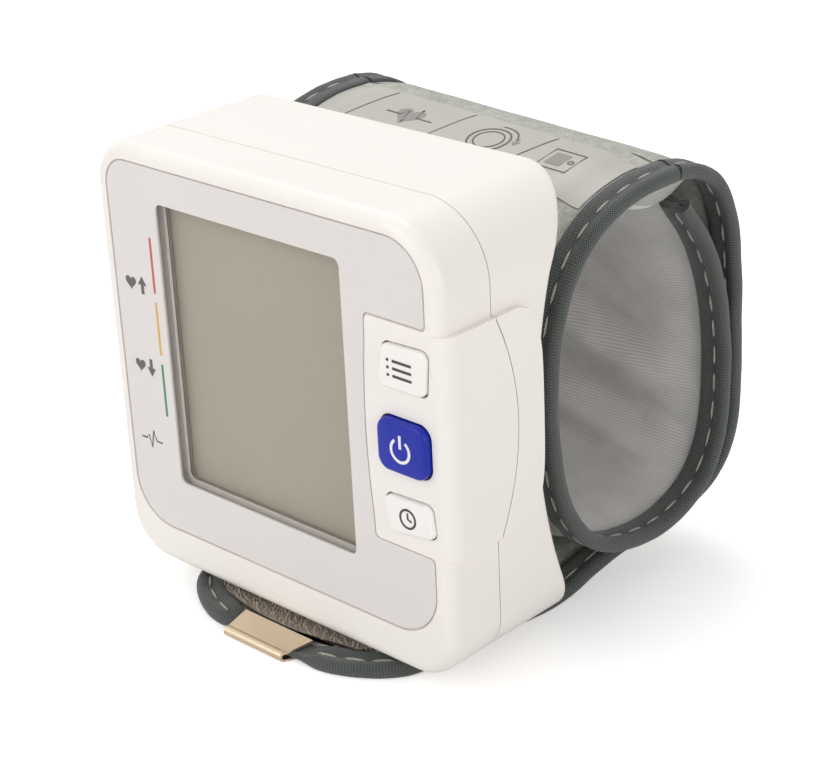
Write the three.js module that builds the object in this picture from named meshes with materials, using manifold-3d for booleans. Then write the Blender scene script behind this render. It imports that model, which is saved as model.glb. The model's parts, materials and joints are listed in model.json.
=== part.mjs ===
// A wrist blood pressure monitor: a small display unit on a padded cuff whose closing
// flap runs round the back of the loop and lies as a flat tongue under the unit.
// Millimetres, +Z up, +X to the unit's right as its user sees it, +Y from the front
// face towards the wrist. The unit is drawn from its front plane and from the floor,
// and the finished group is shifted so that its origin is at the bottom centre.
import * as THREE from "three";
import { mergeVertices } from "three/addons/utils/BufferGeometryUtils.js";
import Module from "manifold-3d";

const wasm = await Module();
wasm.setup();

// Clearances and the overrun of every cut
const seat = 0.2;
const seam = 0.3;
const overrun = 5;

// Display unit
const body = {
  width: 72,
  height: 71.6,
  lift: 4,
  wall: 1.8,
  frontWall: 2.2,
  lowRadius: 8,
  topLeftRadius: 7.5,
  topRightRadius: 11,
  frontRound: 2.2,
  rearRound: 1.5,
  rearTopRound: 3.5,
  innerRound: 0.6,
};
const bodyHalf = body.width / 2;
const bodyTop = body.lift + body.height;
// The cradle in the rear: its depth in the middle, its rise to the body's ends, and
// the flare on top of it from a share of the upper half
const cradle = { depth: 20.9, rise: 8.32, flare: 4.38 };
cradle.centre = body.lift + body.height / 2;
const flareShare = 0.587;

// Label film and its notch, set in from the body's edges
const labelMargin = { side: 3, top: 2.75, bottom: 7.15 };
const label = { thickness: 0.3, groove: 0.3 };
label.left = -bodyHalf + labelMargin.side;
label.right = bodyHalf - labelMargin.side;
label.bottom = body.lift + labelMargin.bottom;
label.top = bodyTop - labelMargin.top;
const labelRadius = { topLeft: 4.5, topRight: 6.8, bottomRight: 8, bottomLeft: 7.5, notch: 1 };
const notch = { depth: 11.8, bow: 0.7, below: 13.65, above: 12.25 };
notch.left = label.right - notch.depth;
notch.bottom = label.bottom + notch.below;
notch.top = label.top - notch.above;
notch.height = notch.top - notch.bottom;

// Parting line and thumb grip, beside the notch
const parting = { depth: 10.5, bow: 4.1, inset: 1 };
parting.bottom = notch.bottom + parting.inset;
parting.top = notch.top - parting.inset;
const grip = { rise: 1, side: 5.6, bulge: 5, roundWidth: 2.6, roundDepth: 3, inset: 0.6 };
grip.depth = cradle.depth - grip.side;
grip.bottom = notch.bottom + grip.inset;
grip.top = notch.top - grip.inset;

// Window in the label, and the display behind it
const windowMargin = { left: 10.95, right: 4.14, bottom: 9.05, top: 5.55 };
const window_ = { radius: 1.2 };
window_.left = label.left + windowMargin.left;
window_.right = notch.left - windowMargin.right;
window_.bottom = label.bottom + windowMargin.bottom;
window_.top = label.top - windowMargin.top;
const lens = { border: 1.6, thickness: 1 };
const lcd = { border: 1.5, front: 3, thickness: 2 };
const lcdFrame = { rim: 1.6, lip: 0.5 };
const strip = { side: 2.05, height: 2, inset: 0.6 };
const board = { front: 5.7, thickness: 1.6, side: 0.7, above: 2.6, below: 10 };
const boardBack = board.front + board.thickness;

// Buttons: middle and corners as shares of the notch from its lower left corner, the
// corners in the order left top, right top, right bottom, left bottom
const memButton = {
  middleShare: [0.67, 0.81],
  cornerShares: [[0.33, 0.902], [1.059, 0.911], [1.008, 0.718], [0.254, 0.712]],
  radius: 1.2,
  proud: 0.8,
};
const startButton = {
  middleShare: [0.627, 0.472],
  cornerShares: [[0.225, 0.587], [1.03, 0.587], [1.03, 0.357], [0.225, 0.357]],
  radius: 2,
  proud: 1.2,
};
const setButton = {
  middleShare: [0.661, 0.162],
  cornerShares: [[0.237, 0.235], [1.017, 0.246], [1.076, 0.103], [0.322, 0.07]],
  radius: 1.2,
  proud: 0.8,
};
const cap = { clearance: 0.25, edge: 0.5, flange: 0.8, flangeThickness: 0.8 };
const tact = { side: 6, thickness: 1.2, plunger: 1.5, stroke: 0.6 };

// Screws that hold the shells, and their bosses
const screwMargin = 6.5;
const screwPlace = {
  x: bodyHalf - screwMargin,
  bottom: body.lift + screwMargin,
  top: bodyTop - screwMargin,
};
const boss = { radius: 3.4, shoulder: 4.2, hole: 1.1, column: 3.5, web: 2.5 };
const screw = { head: 2.3, headDepth: 1.5, shank: 0.9, length: 8 };
const screwSlot = { half: 1.6, width: 0.6, depth: 0.7 };

// Batteries, their tray and contacts, and the door on the left side
const tray = { wall: 0.8, sheet: 0.6, ends: 7.1, springRoom: 2.3 };
const trayFront = boardBack + seat;
const cell = { nub: 2.75, nubLength: 1, edge: 0.5 };
cell.radius = (cradle.depth - body.wall - seam - trayFront - tray.sheet - seat) / 2;
cell.length = screwPlace.top - screwPlace.bottom - 2 * boss.column - tray.ends;
const contact = { thickness: 0.4, border: 1.25 };
const spring = { wire: 0.35, base: 3, tip: 1.7 };
const springTurns = 3;
const door = { front: 8, side: 1.9, notchRadius: 6, notchDepth: 0.7 };
door.rear = cradle.depth - door.side;

// Pump, valve, sensor and the air way
const pump = { lift: 11, side: 3.3, room: 0.9, shaft: 1.2, rib: 1.6, ribInset: 3 };
pump.z = body.lift + pump.lift;
pump.radius = (rearDepth(pump.z) - body.wall - boardBack) / 2 - pump.room;
pump.y = boardBack + pump.room + pump.radius;
const nipple = { flange: 3.5, flangeThickness: 1.5 };
const air = { radius: 1.6, bore: 0.7, stub: 2.6, hose: 0.9 };
const manifold = { rise: 6, drop: 25.6 };
const manifoldShare = 0.254;
manifold.half = (cradle.depth - body.wall - boardBack) * manifoldShare;
manifold.bottom = pump.z + pump.radius + manifold.rise;
manifold.top = bodyTop - manifold.drop;
air.y = cradle.depth - body.wall - nipple.flangeThickness - manifold.half - 2 * seam;
const valve = { width: 9, depth: 9.4, height: 12 };
const sensor = { side: 7, drop: 4 };
sensor.z = manifold.top - sensor.drop;

// Cuff plate on the cradle
const plate = { side: 6, thickness: 1.9, gap: 0.3, boss: 2.8, bossDepth: 4.5 };
const plateShare = 0.475;
plate.height = body.height * plateShare;

// Band: half axes and centre of its loop, and its layers as distances from the middle
// of the band, positive outwards
const loop = { behind: 26.55, below: 0.75, halfDepth: 21.55, lean: 1.5 };
const loopShare = 0.4239;
loop.halfHeight = body.height * loopShare;
loop.y = cradle.depth + loop.behind;
loop.z = cradle.centre - loop.below;
const band = { side: 1, tape: 5, edgeRound: 0.5, shoulder: 0.3, slope: 2.3 };
band.half = bodyHalf - band.side;
const crown = { outer: 1.7, cloth: 0.5, edge: 0.65 };
const stiffener = { side: 8, outer: 1, inner: 0.5 };
const bladder = { side: 10, outer: 0.3, inner: -0.95 };
const tape = { outer: 1.15, inner: 0.8 };
const film = { thickness: 0.25, reach: 17 };

// Flap and tongue
const flap = { gap: 0.4, middle: 1.15, edge: 0.55, tip: -6.2, tipLength: 13.2, rise: 34, level: 20 };
const flapWidthShares = { neck: 0.7, middle: 0.814 };
const flapNeck = band.half * flapWidthShares.neck;
const flapMiddle = band.half * flapWidthShares.middle;
const patch = { thickness: 0.7, side: 10, start: 12, length: 34 };
const clip = { left: -9, right: 7.5, depth: 5, height: 2.6, sheet: 0.4, roll: 0.3 };

// Path of the band, from its free inner end over the rear, the bottom, the front and
// the top to the seam, as shares of the loop's half axes
const bandPathShares = [
  [0.466, 0.799],
  [0.76, 0.51],
  [0.945, 0.15],
  [1, -0.298],
  [0.925, -0.67],
  [0.7, -0.888],
  [0.188, -0.997],
  [-0.517, -0.875],
  [-0.88, -0.56],
  [-1.02, -0.1],
  [-1.01, 0.26],
  [-0.921, 0.526],
  [-0.717, 0.766],
  [-0.401, 0.921],
  [0, 0.99],
  [0.374, 0.997],
];
// Path of the flap, from the seam over the rear and the bottom to where it comes down
const flapPathShares = [
  [0.392, 0.997],
  [0.652, 0.95],
  [0.889, 0.835],
  [1.056, 0.598],
  [1.118, 0.295],
  [1.13, -0.002],
  [1.135, -0.331],
  [1.088, -0.644],
  [0.916, -0.891],
  [0.606, -1.033],
  [0.211, -1.102],
  [-0.23, -1.18],
];
// Half width of the flap from the tip's end: place along the flap, and the share of
// the step from the neck to the middle and on to the full width
const flapTaperShares = { neck: 0.07, middle: 0.33, full: 0.6 };
// The flap's stations lie evenly up to this share, then closer together to its tip
const evenShare = 0.8;
// Flat edge of the flap at its round tip, as shares of its half width there, and where
// its middle swells, as shares of the tape's width
const tipShares = { shoulder: 0.333, top: 0.167, swellStart: 1.6, swellEnd: 2.6 };

// Counts
const arcSteps = 6;
const cornerSteps = 3;
const sideLevels = 10;
const roundSteps = 4;
const bandStations = 44;
const flapStations = 46;

// Materials
function material(colour, roughness, metalness = 0) {
  return new THREE.MeshStandardMaterial({ color: colour, roughness, metalness });
}

// Solids and cuts

function toSolid(geometry) {
  const bare = new THREE.BufferGeometry();
  bare.setAttribute("position", geometry.getAttribute("position").clone());
  if (geometry.index) bare.setIndex(geometry.index);
  const merged = mergeVertices(bare);
  return new wasm.Manifold(
    new wasm.Mesh({
      numProp: 3,
      vertProperties: merged.attributes.position.array,
      triVerts: new Uint32Array(merged.index.array),
    }),
  );
}

function toGeometry(solid) {
  const { vertProperties, triVerts } = solid.getMesh();
  const geometry = new THREE.BufferGeometry();
  geometry.setAttribute("position", new THREE.BufferAttribute(vertProperties, 3));
  geometry.setIndex(new THREE.BufferAttribute(triVerts, 1));
  const flat = geometry.toNonIndexed();
  flat.computeVertexNormals();
  return flat;
}

function carve(base, { add = [], cut = [] }) {
  let solid = base;
  for (const piece of add) solid = solid.add(piece);
  for (const piece of cut) solid = solid.subtract(piece);
  return solid;
}

// A closed mesh from rings of points; caps are triangles of the ring's own indices.
function loft(rings, caps) {
  const count = rings[0].length;
  const points = rings.flat();
  const faces = [];
  for (let ring = 0; ring + 1 < rings.length; ring++) {
    for (let i = 0; i < count; i++) {
      const a = ring * count + i;
      const b = ring * count + ((i + 1) % count);
      faces.push([a, b, b + count], [a, b + count, a + count]);
    }
  }
  const last = (rings.length - 1) * count;
  for (const [a, b, c] of caps) faces.push([a, c, b], [last + a, last + b, last + c]);
  const volume = faces.reduce((sum, [a, b, c]) => {
    return sum + points[a].dot(points[b].clone().cross(points[c]));
  }, 0);
  const outward = volume > 0 ? faces : faces.map(([a, b, c]) => [a, c, b]);
  const geometry = new THREE.BufferGeometry().setFromPoints(points);
  geometry.setIndex(outward.flat());
  return geometry;
}

// Triangles that close a section, turned the way its outline runs
function capOf(section) {
  const contour = section.map(([x, y]) => new THREE.Vector2(x, y));
  const turn = Math.sign(THREE.ShapeUtils.area(contour));
  return THREE.ShapeUtils.triangulateShape(contour, []).map(([a, b, c]) => {
    const own = Math.sign(THREE.ShapeUtils.area([contour[a], contour[b], contour[c]]));
    return own === turn ? [a, b, c] : [a, c, b];
  });
}

// An outline with round corners, each corner given as [x, y, radius].
function roundedShape(corners) {
  const shape = new THREE.Shape();
  corners.forEach(([x, y, radius], i) => {
    const corner = new THREE.Vector2(x, y);
    const before = corners[(i + corners.length - 1) % corners.length];
    const after = corners[(i + 1) % corners.length];
    const back = new THREE.Vector2(before[0], before[1]).sub(corner).normalize();
    const ahead = new THREE.Vector2(after[0], after[1]).sub(corner).normalize();
    const half = Math.acos(THREE.MathUtils.clamp(back.dot(ahead), -1, 1)) / 2;
    const reach = radius / Math.tan(half);
    const start = corner.clone().addScaledVector(back, reach);
    const end = corner.clone().addScaledVector(ahead, reach);
    const centre = back.clone().add(ahead).normalize().multiplyScalar(radius / Math.sin(half)).add(corner);
    if (i === 0) shape.moveTo(start.x, start.y);
    else shape.lineTo(start.x, start.y);
    if (radius > 0) {
      const from = Math.atan2(start.y - centre.y, start.x - centre.x);
      const to = Math.atan2(end.y - centre.y, end.x - centre.x);
      shape.absarc(centre.x, centre.y, radius, from, to, back.cross(ahead) > 0);
    }
  });
  shape.closePath();
  return shape;
}

function rectangle(x0, x1, y0, y1, radius = 0) {
  return roundedShape([[x0, y0, radius], [x1, y0, radius], [x1, y1, radius], [x0, y1, radius]]);
}

// An outline in x and z, drawn out from y0 to y1
function alongY(shape, y0, y1) {
  const geometry = new THREE.ExtrudeGeometry(shape, {
    depth: y1 - y0,
    bevelEnabled: false,
    curveSegments: cornerSteps,
  });
  return geometry.rotateX(Math.PI / 2).translate(0, y1, 0);
}

// An outline in y and z, drawn out from x0 to x1
function alongX(shape, x0, x1) {
  const geometry = new THREE.ExtrudeGeometry(shape, {
    depth: x1 - x0,
    bevelEnabled: false,
    curveSegments: cornerSteps,
  });
  const turn = new THREE.Matrix4().makeBasis(
    new THREE.Vector3(0, 1, 0),
    new THREE.Vector3(0, 0, 1),
    new THREE.Vector3(1, 0, 0),
  );
  return geometry.applyMatrix4(turn).translate(x0, 0, 0);
}

function box(x0, x1, y0, y1, z0, z1) {
  const geometry = new THREE.BoxGeometry(x1 - x0, y1 - y0, z1 - z0);
  return geometry.translate((x0 + x1) / 2, (y0 + y1) / 2, (z0 + z1) / 2);
}

// A round bar along y at x and z
function barY(radius, x, z, y0, y1, sides = 20) {
  return new THREE.CylinderGeometry(radius, radius, y1 - y0, sides).translate(x, (y0 + y1) / 2, z);
}

function barZ(radius, x, y, z0, z1, sides = 20) {
  const geometry = new THREE.CylinderGeometry(radius, radius, z1 - z0, sides);
  return geometry.rotateX(Math.PI / 2).translate(x, y, (z0 + z1) / 2);
}

function barX(radius, y, z, x0, x1, sides = 28) {
  const geometry = new THREE.CylinderGeometry(radius, radius, x1 - x0, sides);
  return geometry.rotateZ(Math.PI / 2).translate((x0 + x1) / 2, y, z);
}

// A ring-shaped tube along z
function hoseZ(inner, outer, x, y, z0, z1) {
  const profile = [[inner, z0], [outer, z0], [outer, z1], [inner, z1], [inner, z0]];
  const points = profile.map(([radius, height]) => new THREE.Vector2(radius, height));
  return new THREE.LatheGeometry(points, 20).rotateX(Math.PI / 2).translate(x, y, 0);
}

// Display unit

function rearDepth(z) {
  const share = (2 * (z - cradle.centre)) / body.height;
  const flare = Math.max(0, share - flareShare) / (1 - flareShare);
  return cradle.depth + cradle.rise * share ** 2 + cradle.flare * flare ** 2;
}

// Levels of the body's outline from its bottom edge up one side to its top edge
const levels = [];
for (let i = 0; i <= arcSteps; i++) levels.push({ zone: "low", share: i / arcSteps });
for (let i = 1; i < sideLevels; i++) levels.push({ zone: "side", share: i / sideLevels });
for (let i = 0; i <= arcSteps; i++) levels.push({ zone: "top", share: i / arcSteps });

function outlinePoint(side, level, inset) {
  const edge = bodyHalf - inset;
  const lowRadius = body.lowRadius - inset;
  const topRadius = (side < 0 ? body.topLeftRadius : body.topRightRadius) - inset;
  const low = body.lift + inset + lowRadius;
  const high = bodyTop - inset - topRadius;
  const angle = (level.share * Math.PI) / 2;
  if (level.zone === "low") {
    return [side * (edge - lowRadius + lowRadius * Math.sin(angle)), low - lowRadius * Math.cos(angle)];
  }
  if (level.zone === "top") {
    return [side * (edge - topRadius + topRadius * Math.cos(angle)), high + topRadius * Math.sin(angle)];
  }
  return [side * edge, low + (high - low) * level.share];
}

// The unit's outer form, or with an inset the hollow inside its walls
function bodyForm(inset, front, frontRound, rearInset) {
  const rings = [];
  const ringOf = (pointOf) => [
    ...levels.map((level) => pointOf(-1, level)),
    ...levels.toReversed().map((level) => pointOf(1, level)),
  ];
  for (let step = 0; step <= roundSteps; step++) {
    const angle = ((step / roundSteps) * Math.PI) / 2;
    const depth = front + frontRound * (1 - Math.sin(angle));
    rings.unshift(
      ringOf((side, level) => {
        const [x, z] = outlinePoint(side, level, inset + frontRound * (1 - Math.cos(angle)));
        return new THREE.Vector3(x, depth, z);
      }),
    );
  }
  for (let step = 0; step <= roundSteps; step++) {
    const angle = ((step / roundSteps) * Math.PI) / 2;
    rings.push(
      ringOf((side, level) => {
        const topShare = level.zone === "top" ? level.share : 0;
        const round = body.rearRound + (body.rearTopRound - body.rearRound) * topShare;
        const [x, z] = outlinePoint(side, level, inset + round * (1 - Math.cos(angle)));
        return new THREE.Vector3(x, rearDepth(z) - rearInset - round * (1 - Math.sin(angle)), z);
      }),
    );
  }
  const caps = [];
  const count = levels.length;
  for (let i = 0; i + 1 < count; i++) {
    const right = 2 * count - 1 - i;
    caps.push([i, i + 1, right - 1], [i, right - 1, right]);
  }
  return toSolid(loft(rings, caps));
}

// The raised thumb grip on the right side, rounded into the front face
function gripForm() {
  const outer = bodyHalf + grip.rise;
  const section = new THREE.Shape();
  section.moveTo(bodyHalf - body.wall, 0);
  section.lineTo(outer - grip.roundWidth, 0);
  const { roundWidth, roundDepth } = grip;
  section.absellipse(outer - roundWidth, roundDepth, roundWidth, roundDepth, -Math.PI / 2, 0);
  section.lineTo(outer, cradle.depth);
  section.lineTo(bodyHalf - body.wall, cradle.depth);
  const bar = new THREE.ExtrudeGeometry(section, {
    depth: grip.top - grip.bottom,
    bevelEnabled: false,
    curveSegments: cornerSteps,
  }).translate(0, 0, grip.bottom);
  const side = new THREE.Shape();
  const middle = (grip.top + grip.bottom) / 2;
  const half = (grip.top - grip.bottom) / 2;
  side.moveTo(0, grip.bottom);
  for (let i = 0; i <= 2 * arcSteps; i++) {
    const share = i / arcSteps - 1;
    side.lineTo(grip.depth + grip.bulge * Math.sqrt(1 - share ** 4), middle + half * share);
  }
  side.lineTo(0, grip.top);
  return toSolid(bar).intersect(toSolid(alongX(side, bodyHalf - 2 * body.wall, outer + overrun)));
}

// All that lies before the parting face, which bows rearwards on the right wall
function frontSide(shift) {
  const depth = parting.depth + shift;
  const flat = toSolid(
    box(-bodyHalf - overrun, bodyHalf + overrun, -overrun, depth, -overrun, bodyTop + overrun),
  );
  const bow = new THREE.Shape();
  const middle = (parting.top + parting.bottom) / 2;
  const half = (parting.top - parting.bottom) / 2 + shift;
  bow.moveTo(0, middle - half);
  for (let i = 0; i <= 2 * arcSteps; i++) {
    const share = i / arcSteps - 1;
    bow.lineTo(depth + parting.bow * (1 - share ** 2), middle + half * share);
  }
  bow.lineTo(0, middle + half);
  return flat.add(toSolid(alongX(bow, bodyHalf - 2 * body.wall, bodyHalf + overrun)));
}

function labelShape(margin) {
  const middle = (notch.bottom + notch.top) / 2;
  return roundedShape([
    [label.left - margin, label.bottom - margin, labelRadius.bottomLeft + margin],
    [label.right + margin, label.bottom - margin, labelRadius.bottomRight + margin],
    [label.right + margin, notch.bottom + margin, labelRadius.notch],
    [notch.left + margin, notch.bottom + margin, labelRadius.notch],
    [notch.left + margin - notch.bow, middle, 0],
    [notch.left + margin, notch.top - margin, labelRadius.notch],
    [label.right + margin, notch.top - margin, labelRadius.notch],
    [label.right + margin, label.top + margin, labelRadius.topRight + margin],
    [label.left - margin, label.top + margin, labelRadius.topLeft + margin],
  ]);
}

function windowShape(margin) {
  return rectangle(
    window_.left - margin,
    window_.right + margin,
    window_.bottom - margin,
    window_.top + margin,
    window_.radius + Math.max(0, margin),
  );
}

// A place on the notch, from its lower left corner
function onNotch([across, up]) {
  return [notch.left + across * notch.depth, notch.bottom + up * notch.height];
}

const screwPlaces = [
  [-screwPlace.x, screwPlace.bottom],
  [screwPlace.x, screwPlace.bottom],
  [-screwPlace.x, screwPlace.top],
  [screwPlace.x, screwPlace.top],
];
const labelPocket = label.thickness + seat;
const screwSeat = parting.depth + seam / 2 + boss.web;

// Button outline, grown by a margin and kept clear of the side wall
function capShape(button, margin) {
  const limit = bodyHalf - body.wall - seat;
  const [middleX, middleZ] = onNotch(button.middleShare);
  return roundedShape(
    button.cornerShares.map(onNotch).map(([x, z]) => [
      Math.min(x + Math.sign(x - middleX) * margin, limit),
      z + Math.sign(z - middleZ) * margin,
      button.radius,
    ]),
  );
}

const buttons = [
  ["mem_button", "mem_switch", memButton],
  ["start_stop_button", "start_stop_switch", startButton],
  ["set_button", "set_switch", setButton],
];

function makeFrontShell(shellForm, hollow) {
  const bosses = screwPlaces.flatMap(([x, z]) => [
    toSolid(barY(boss.radius, x, z, body.frontWall / 2, parting.depth + overrun)),
    toSolid(barY(boss.shoulder, x, z, body.frontWall / 2, board.front - seat)),
  ]);
  const holes = screwPlaces.map(([x, z]) =>
    toSolid(barY(boss.hole, x, z, body.frontWall, parting.depth + overrun, 12)),
  );
  const windowPocket = toSolid(
    alongY(windowShape(lens.border + seat), 0, labelPocket + lens.thickness + seat),
  );
  const openings = [
    toSolid(alongY(labelShape(label.groove), -overrun, labelPocket)),
    windowPocket,
    toSolid(alongY(windowShape(0), -overrun, overrun)),
    ...buttons.map(([, , button]) =>
      toSolid(alongY(capShape(button, cap.clearance), -overrun, body.frontWall + seat)),
    ),
  ];
  const walls = shellForm.subtract(carve(hollow, { cut: bosses }));
  return carve(walls.intersect(frontSide(-seam / 2)), { cut: [...openings, ...holes, doorForm(0)] });
}

// The battery door, or with no clearance the opening that it closes
function doorForm(clearance) {
  const half = doorHalf - clearance;
  return toSolid(
    box(
      -bodyHalf - (clearance > 0 ? 0 : overrun),
      -bodyHalf + body.wall + (clearance > 0 ? 0 : seat),
      door.front + clearance,
      door.rear - clearance,
      cradle.centre - half,
      cradle.centre + half,
    ),
  );
}

function makeRearShell(shellForm, hollow) {
  const columns = screwPlaces.map(([x, z]) =>
    toSolid(barY(boss.column, x, z, 0, rearDepth(z) + overrun)),
  );
  const plateBosses = [plateScrew.left, plateScrew.right].map((x) =>
    toSolid(
      barY(plate.boss, x, cradle.centre, cradle.depth - body.wall - plate.bossDepth, cradle.depth - seat),
    ),
  );
  const ribs = [pump.left + pump.ribInset, pumpRight - pump.ribInset].map((x) =>
    toSolid(
      box(x - pump.rib / 2, x + pump.rib / 2, parting.depth + seam, rearDepth(pump.z), body.lift, pump.z),
    ),
  );
  const pumpBay = toSolid(barX(pump.radius + seam, pump.y, pump.z, -bodyHalf, bodyHalf));
  const pumpRibs = ribs.map((rib) => rib.subtract(pumpBay));
  const walls = shellForm.subtract(carve(hollow, { cut: [...columns, ...plateBosses, ...pumpRibs] }));
  const holes = screwPlaces.flatMap(([x, z]) => [
    toSolid(barY(boss.hole, x, z, 0, rearDepth(z) + overrun, 12)),
    toSolid(barY(screw.head + seam, x, z, screwSeat, rearDepth(z) + overrun)),
  ]);
  const plateHoleStart = cradle.depth - body.wall - plate.bossDepth - seat;
  const plateHoles = [plateScrew.left, plateScrew.right].map((x) =>
    toSolid(barY(boss.hole, x, cradle.centre, plateHoleStart, cradle.depth * 2, 12)),
  );
  return carve(walls, {
    cut: [
      frontSide(seam / 2),
      ...holes,
      ...plateHoles,
      doorForm(0),
      toSolid(barY(air.radius + seam, air.x, cradle.centre, parting.depth, cradle.depth * 2)),
    ],
  });
}

function makeDoor() {
  const thumb = new THREE.SphereGeometry(door.notchRadius, 20, 12);
  thumb.translate(
    -bodyHalf - door.notchRadius + door.notchDepth,
    (door.front + door.rear) / 2,
    cradle.centre - doorHalf / 2,
  );
  return doorForm(seam).subtract(toSolid(thumb));
}

function makeButton(button) {
  const flangeFront = body.frontWall + seat;
  const stem = toSolid(alongY(capShape(button, 0), cap.edge - button.proud, flangeFront + seat));
  const face = toSolid(alongY(capShape(button, -cap.edge / 2), -button.proud, cap.edge));
  const flange = toSolid(
    alongY(capShape(button, cap.flange), flangeFront, flangeFront + cap.flangeThickness),
  );
  return carve(stem, { add: [face, flange] });
}

function makeSwitch(button) {
  const back = board.front - seat;
  const half = tact.side / 2;
  const front = back - tact.thickness;
  const [x, z] = onNotch(button.middleShare);
  const base = box(x - half, x + half, front, back, z - half, z + half);
  const plungerFront = body.frontWall + seat + cap.flangeThickness + tact.stroke;
  return toSolid(base).add(toSolid(barY(tact.plunger, x, z, plungerFront, back)));
}

function makeLcdFrame() {
  const front = body.frontWall + seat;
  const outer = toSolid(alongY(windowShape(lcd.border + lcdFrame.rim), front, board.front - seat));
  return carve(outer, {
    cut: [
      toSolid(alongY(windowShape(0), 0, board.front)),
      toSolid(alongY(windowShape(lcd.border + seat), lcd.front - seat, board.front)),
    ],
  });
}

function makeBoard() {
  const edge = bodyHalf - body.wall - board.side;
  const sheet = toSolid(
    alongY(rectangle(-edge, edge, body.lift + board.below, bodyTop - board.above), board.front, boardBack),
  );
  const corners = screwPlaces.map(([x, z]) =>
    toSolid(barY(boss.radius + seam, x, z, 0, parting.depth)),
  );
  return carve(sheet.intersect(bodyForm(body.wall + seam, 0, body.innerRound, 0)), { cut: corners });
}

// A shell screw lies along y with its head towards the wrist
function makeScrew(x, z, headFront) {
  const head = toSolid(barY(screw.head, x, z, headFront, headFront + screw.headDepth));
  const shank = toSolid(barY(screw.shank, x, z, headFront - screw.length, headFront + seat, 12));
  const slots = [
    [screwSlot.width / 2, screwSlot.half],
    [screwSlot.half, screwSlot.width / 2],
  ].map(([dx, dz]) =>
    toSolid(
      box(
        x - dx,
        x + dx,
        headFront + screw.headDepth - screwSlot.depth,
        headFront + screw.headDepth + overrun,
        z - dz,
        z + dz,
      ),
    ),
  );
  return carve(head, { add: [shank], cut: slots });
}

// Batteries

const cellY = trayFront + tray.sheet + seat + cell.radius;
const trayBack = trayFront + 2 * cell.radius + 2 * seat;
const trayLeft = -bodyHalf + body.wall + seat;
const cellX = [trayLeft + seat + cell.radius, trayLeft + 2 * seat + seam + 3 * cell.radius];
const trayRight = cellX[1] + cell.radius + seat + tray.wall;
const trayInner = (cell.length + tray.springRoom) / 2 + contact.thickness + seat;

// The pump fills the room between the tray and the right screw column. The air way
// stands on the middle of its head, and the plate's screws keep clear of both.
const doorHalf = trayInner + seat;
pump.left = trayRight + pump.side;
const pumpRight = screwPlace.x - boss.column - 2 * pump.side;
const motorRight = (pump.left + pumpRight) / 2;
air.x = (motorRight + pumpRight) / 2;
const plateHalf = bodyHalf - plate.side;
const plateScrew = { left: trayRight + 2 * plate.boss + seat, right: plateHalf - plate.boss - seat };

function makeTray() {
  const outer = box(
    trayLeft,
    trayRight,
    trayFront,
    trayBack,
    cradle.centre - trayInner - tray.wall,
    cradle.centre + trayInner + tray.wall,
  );
  const inside = box(
    trayLeft - overrun,
    trayRight - tray.wall,
    trayFront + tray.sheet,
    trayBack + overrun,
    cradle.centre - trayInner,
    cradle.centre + trayInner,
  );
  return toSolid(outer).subtract(toSolid(inside));
}

// A cell stands along z; up is 1 with its nub at the top and -1 at the bottom.
function makeCell(x, up) {
  const profile = [
    [0, 0],
    [cell.radius - cell.edge, 0],
    [cell.radius, cell.edge],
    [cell.radius, cell.length - cell.nubLength - cell.edge],
    [cell.radius - cell.edge, cell.length - cell.nubLength],
    [cell.nub, cell.length - cell.nubLength],
    [cell.nub, cell.length],
    [0, cell.length],
  ].map(([radius, height]) => new THREE.Vector2(radius, height));
  const geometry = new THREE.LatheGeometry(profile, 24);
  geometry.rotateX((up * Math.PI) / 2);
  const nubGap = trayInner - contact.thickness - seat;
  return geometry.translate(x, cellY, cradle.centre + up * (nubGap - cell.length));
}

function makeContact(x0, x1, up) {
  const outer = trayInner - seat / 2;
  const ends = [cradle.centre + up * outer, cradle.centre + up * (outer - contact.thickness)];
  const half = cell.radius - contact.border;
  return box(x0 - half, x1 + half, cellY - half, cellY + half, Math.min(...ends), Math.max(...ends));
}

// A contact spring winds as a cone from its plate to the flat end of its cell.
function makeSpring(x, up) {
  const start = trayInner - contact.thickness - seat - spring.wire;
  const end = trayInner - contact.thickness - tray.springRoom + spring.wire;
  const steps = springTurns * arcSteps;
  const points = [];
  for (let i = 0; i <= steps; i++) {
    const share = i / steps;
    const angle = share * springTurns * 2 * Math.PI;
    const radius = spring.base + (spring.tip - spring.base) * share;
    points.push(
      new THREE.Vector3(
        x + radius * Math.cos(angle),
        cellY + radius * Math.sin(angle),
        cradle.centre + up * (start + (end - start) * share),
      ),
    );
  }
  const section = new THREE.Shape();
  section.absarc(0, 0, spring.wire, 0, 2 * Math.PI);
  return new THREE.ExtrudeGeometry(section, {
    steps,
    curveSegments: 5,
    bevelEnabled: false,
    extrudePath: new THREE.CatmullRomCurve3(points),
  });
}

// Air way

function makeMotor() {
  const can = toSolid(barX(pump.radius, pump.y, pump.z, pump.left, motorRight - seat));
  const shaft = toSolid(barX(pump.shaft, pump.y, pump.z, pump.left - pump.shaft, pump.left + pump.shaft, 12));
  return can.add(shaft);
}

function makePumpHead() {
  const head = toSolid(barX(pump.radius, pump.y, pump.z, motorRight + seat, pumpRight));
  const top = manifold.bottom - air.stub - seat;
  return head.add(toSolid(barZ(air.radius, air.x, air.y, pump.z, top, 12)));
}

function makeManifold() {
  const { half, bottom, top } = manifold;
  const block = toSolid(box(air.x - half, air.x + half, air.y - half, air.y + half, bottom, top));
  return carve(block, {
    add: [toSolid(barZ(air.radius, air.x, air.y, bottom - air.stub, top + air.stub, 12))],
    cut: [toSolid(barZ(air.bore, air.x, air.y, bottom - overrun, top + overrun, 8))],
  });
}

const valveBottom = manifold.top + 2 * air.stub;

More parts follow.
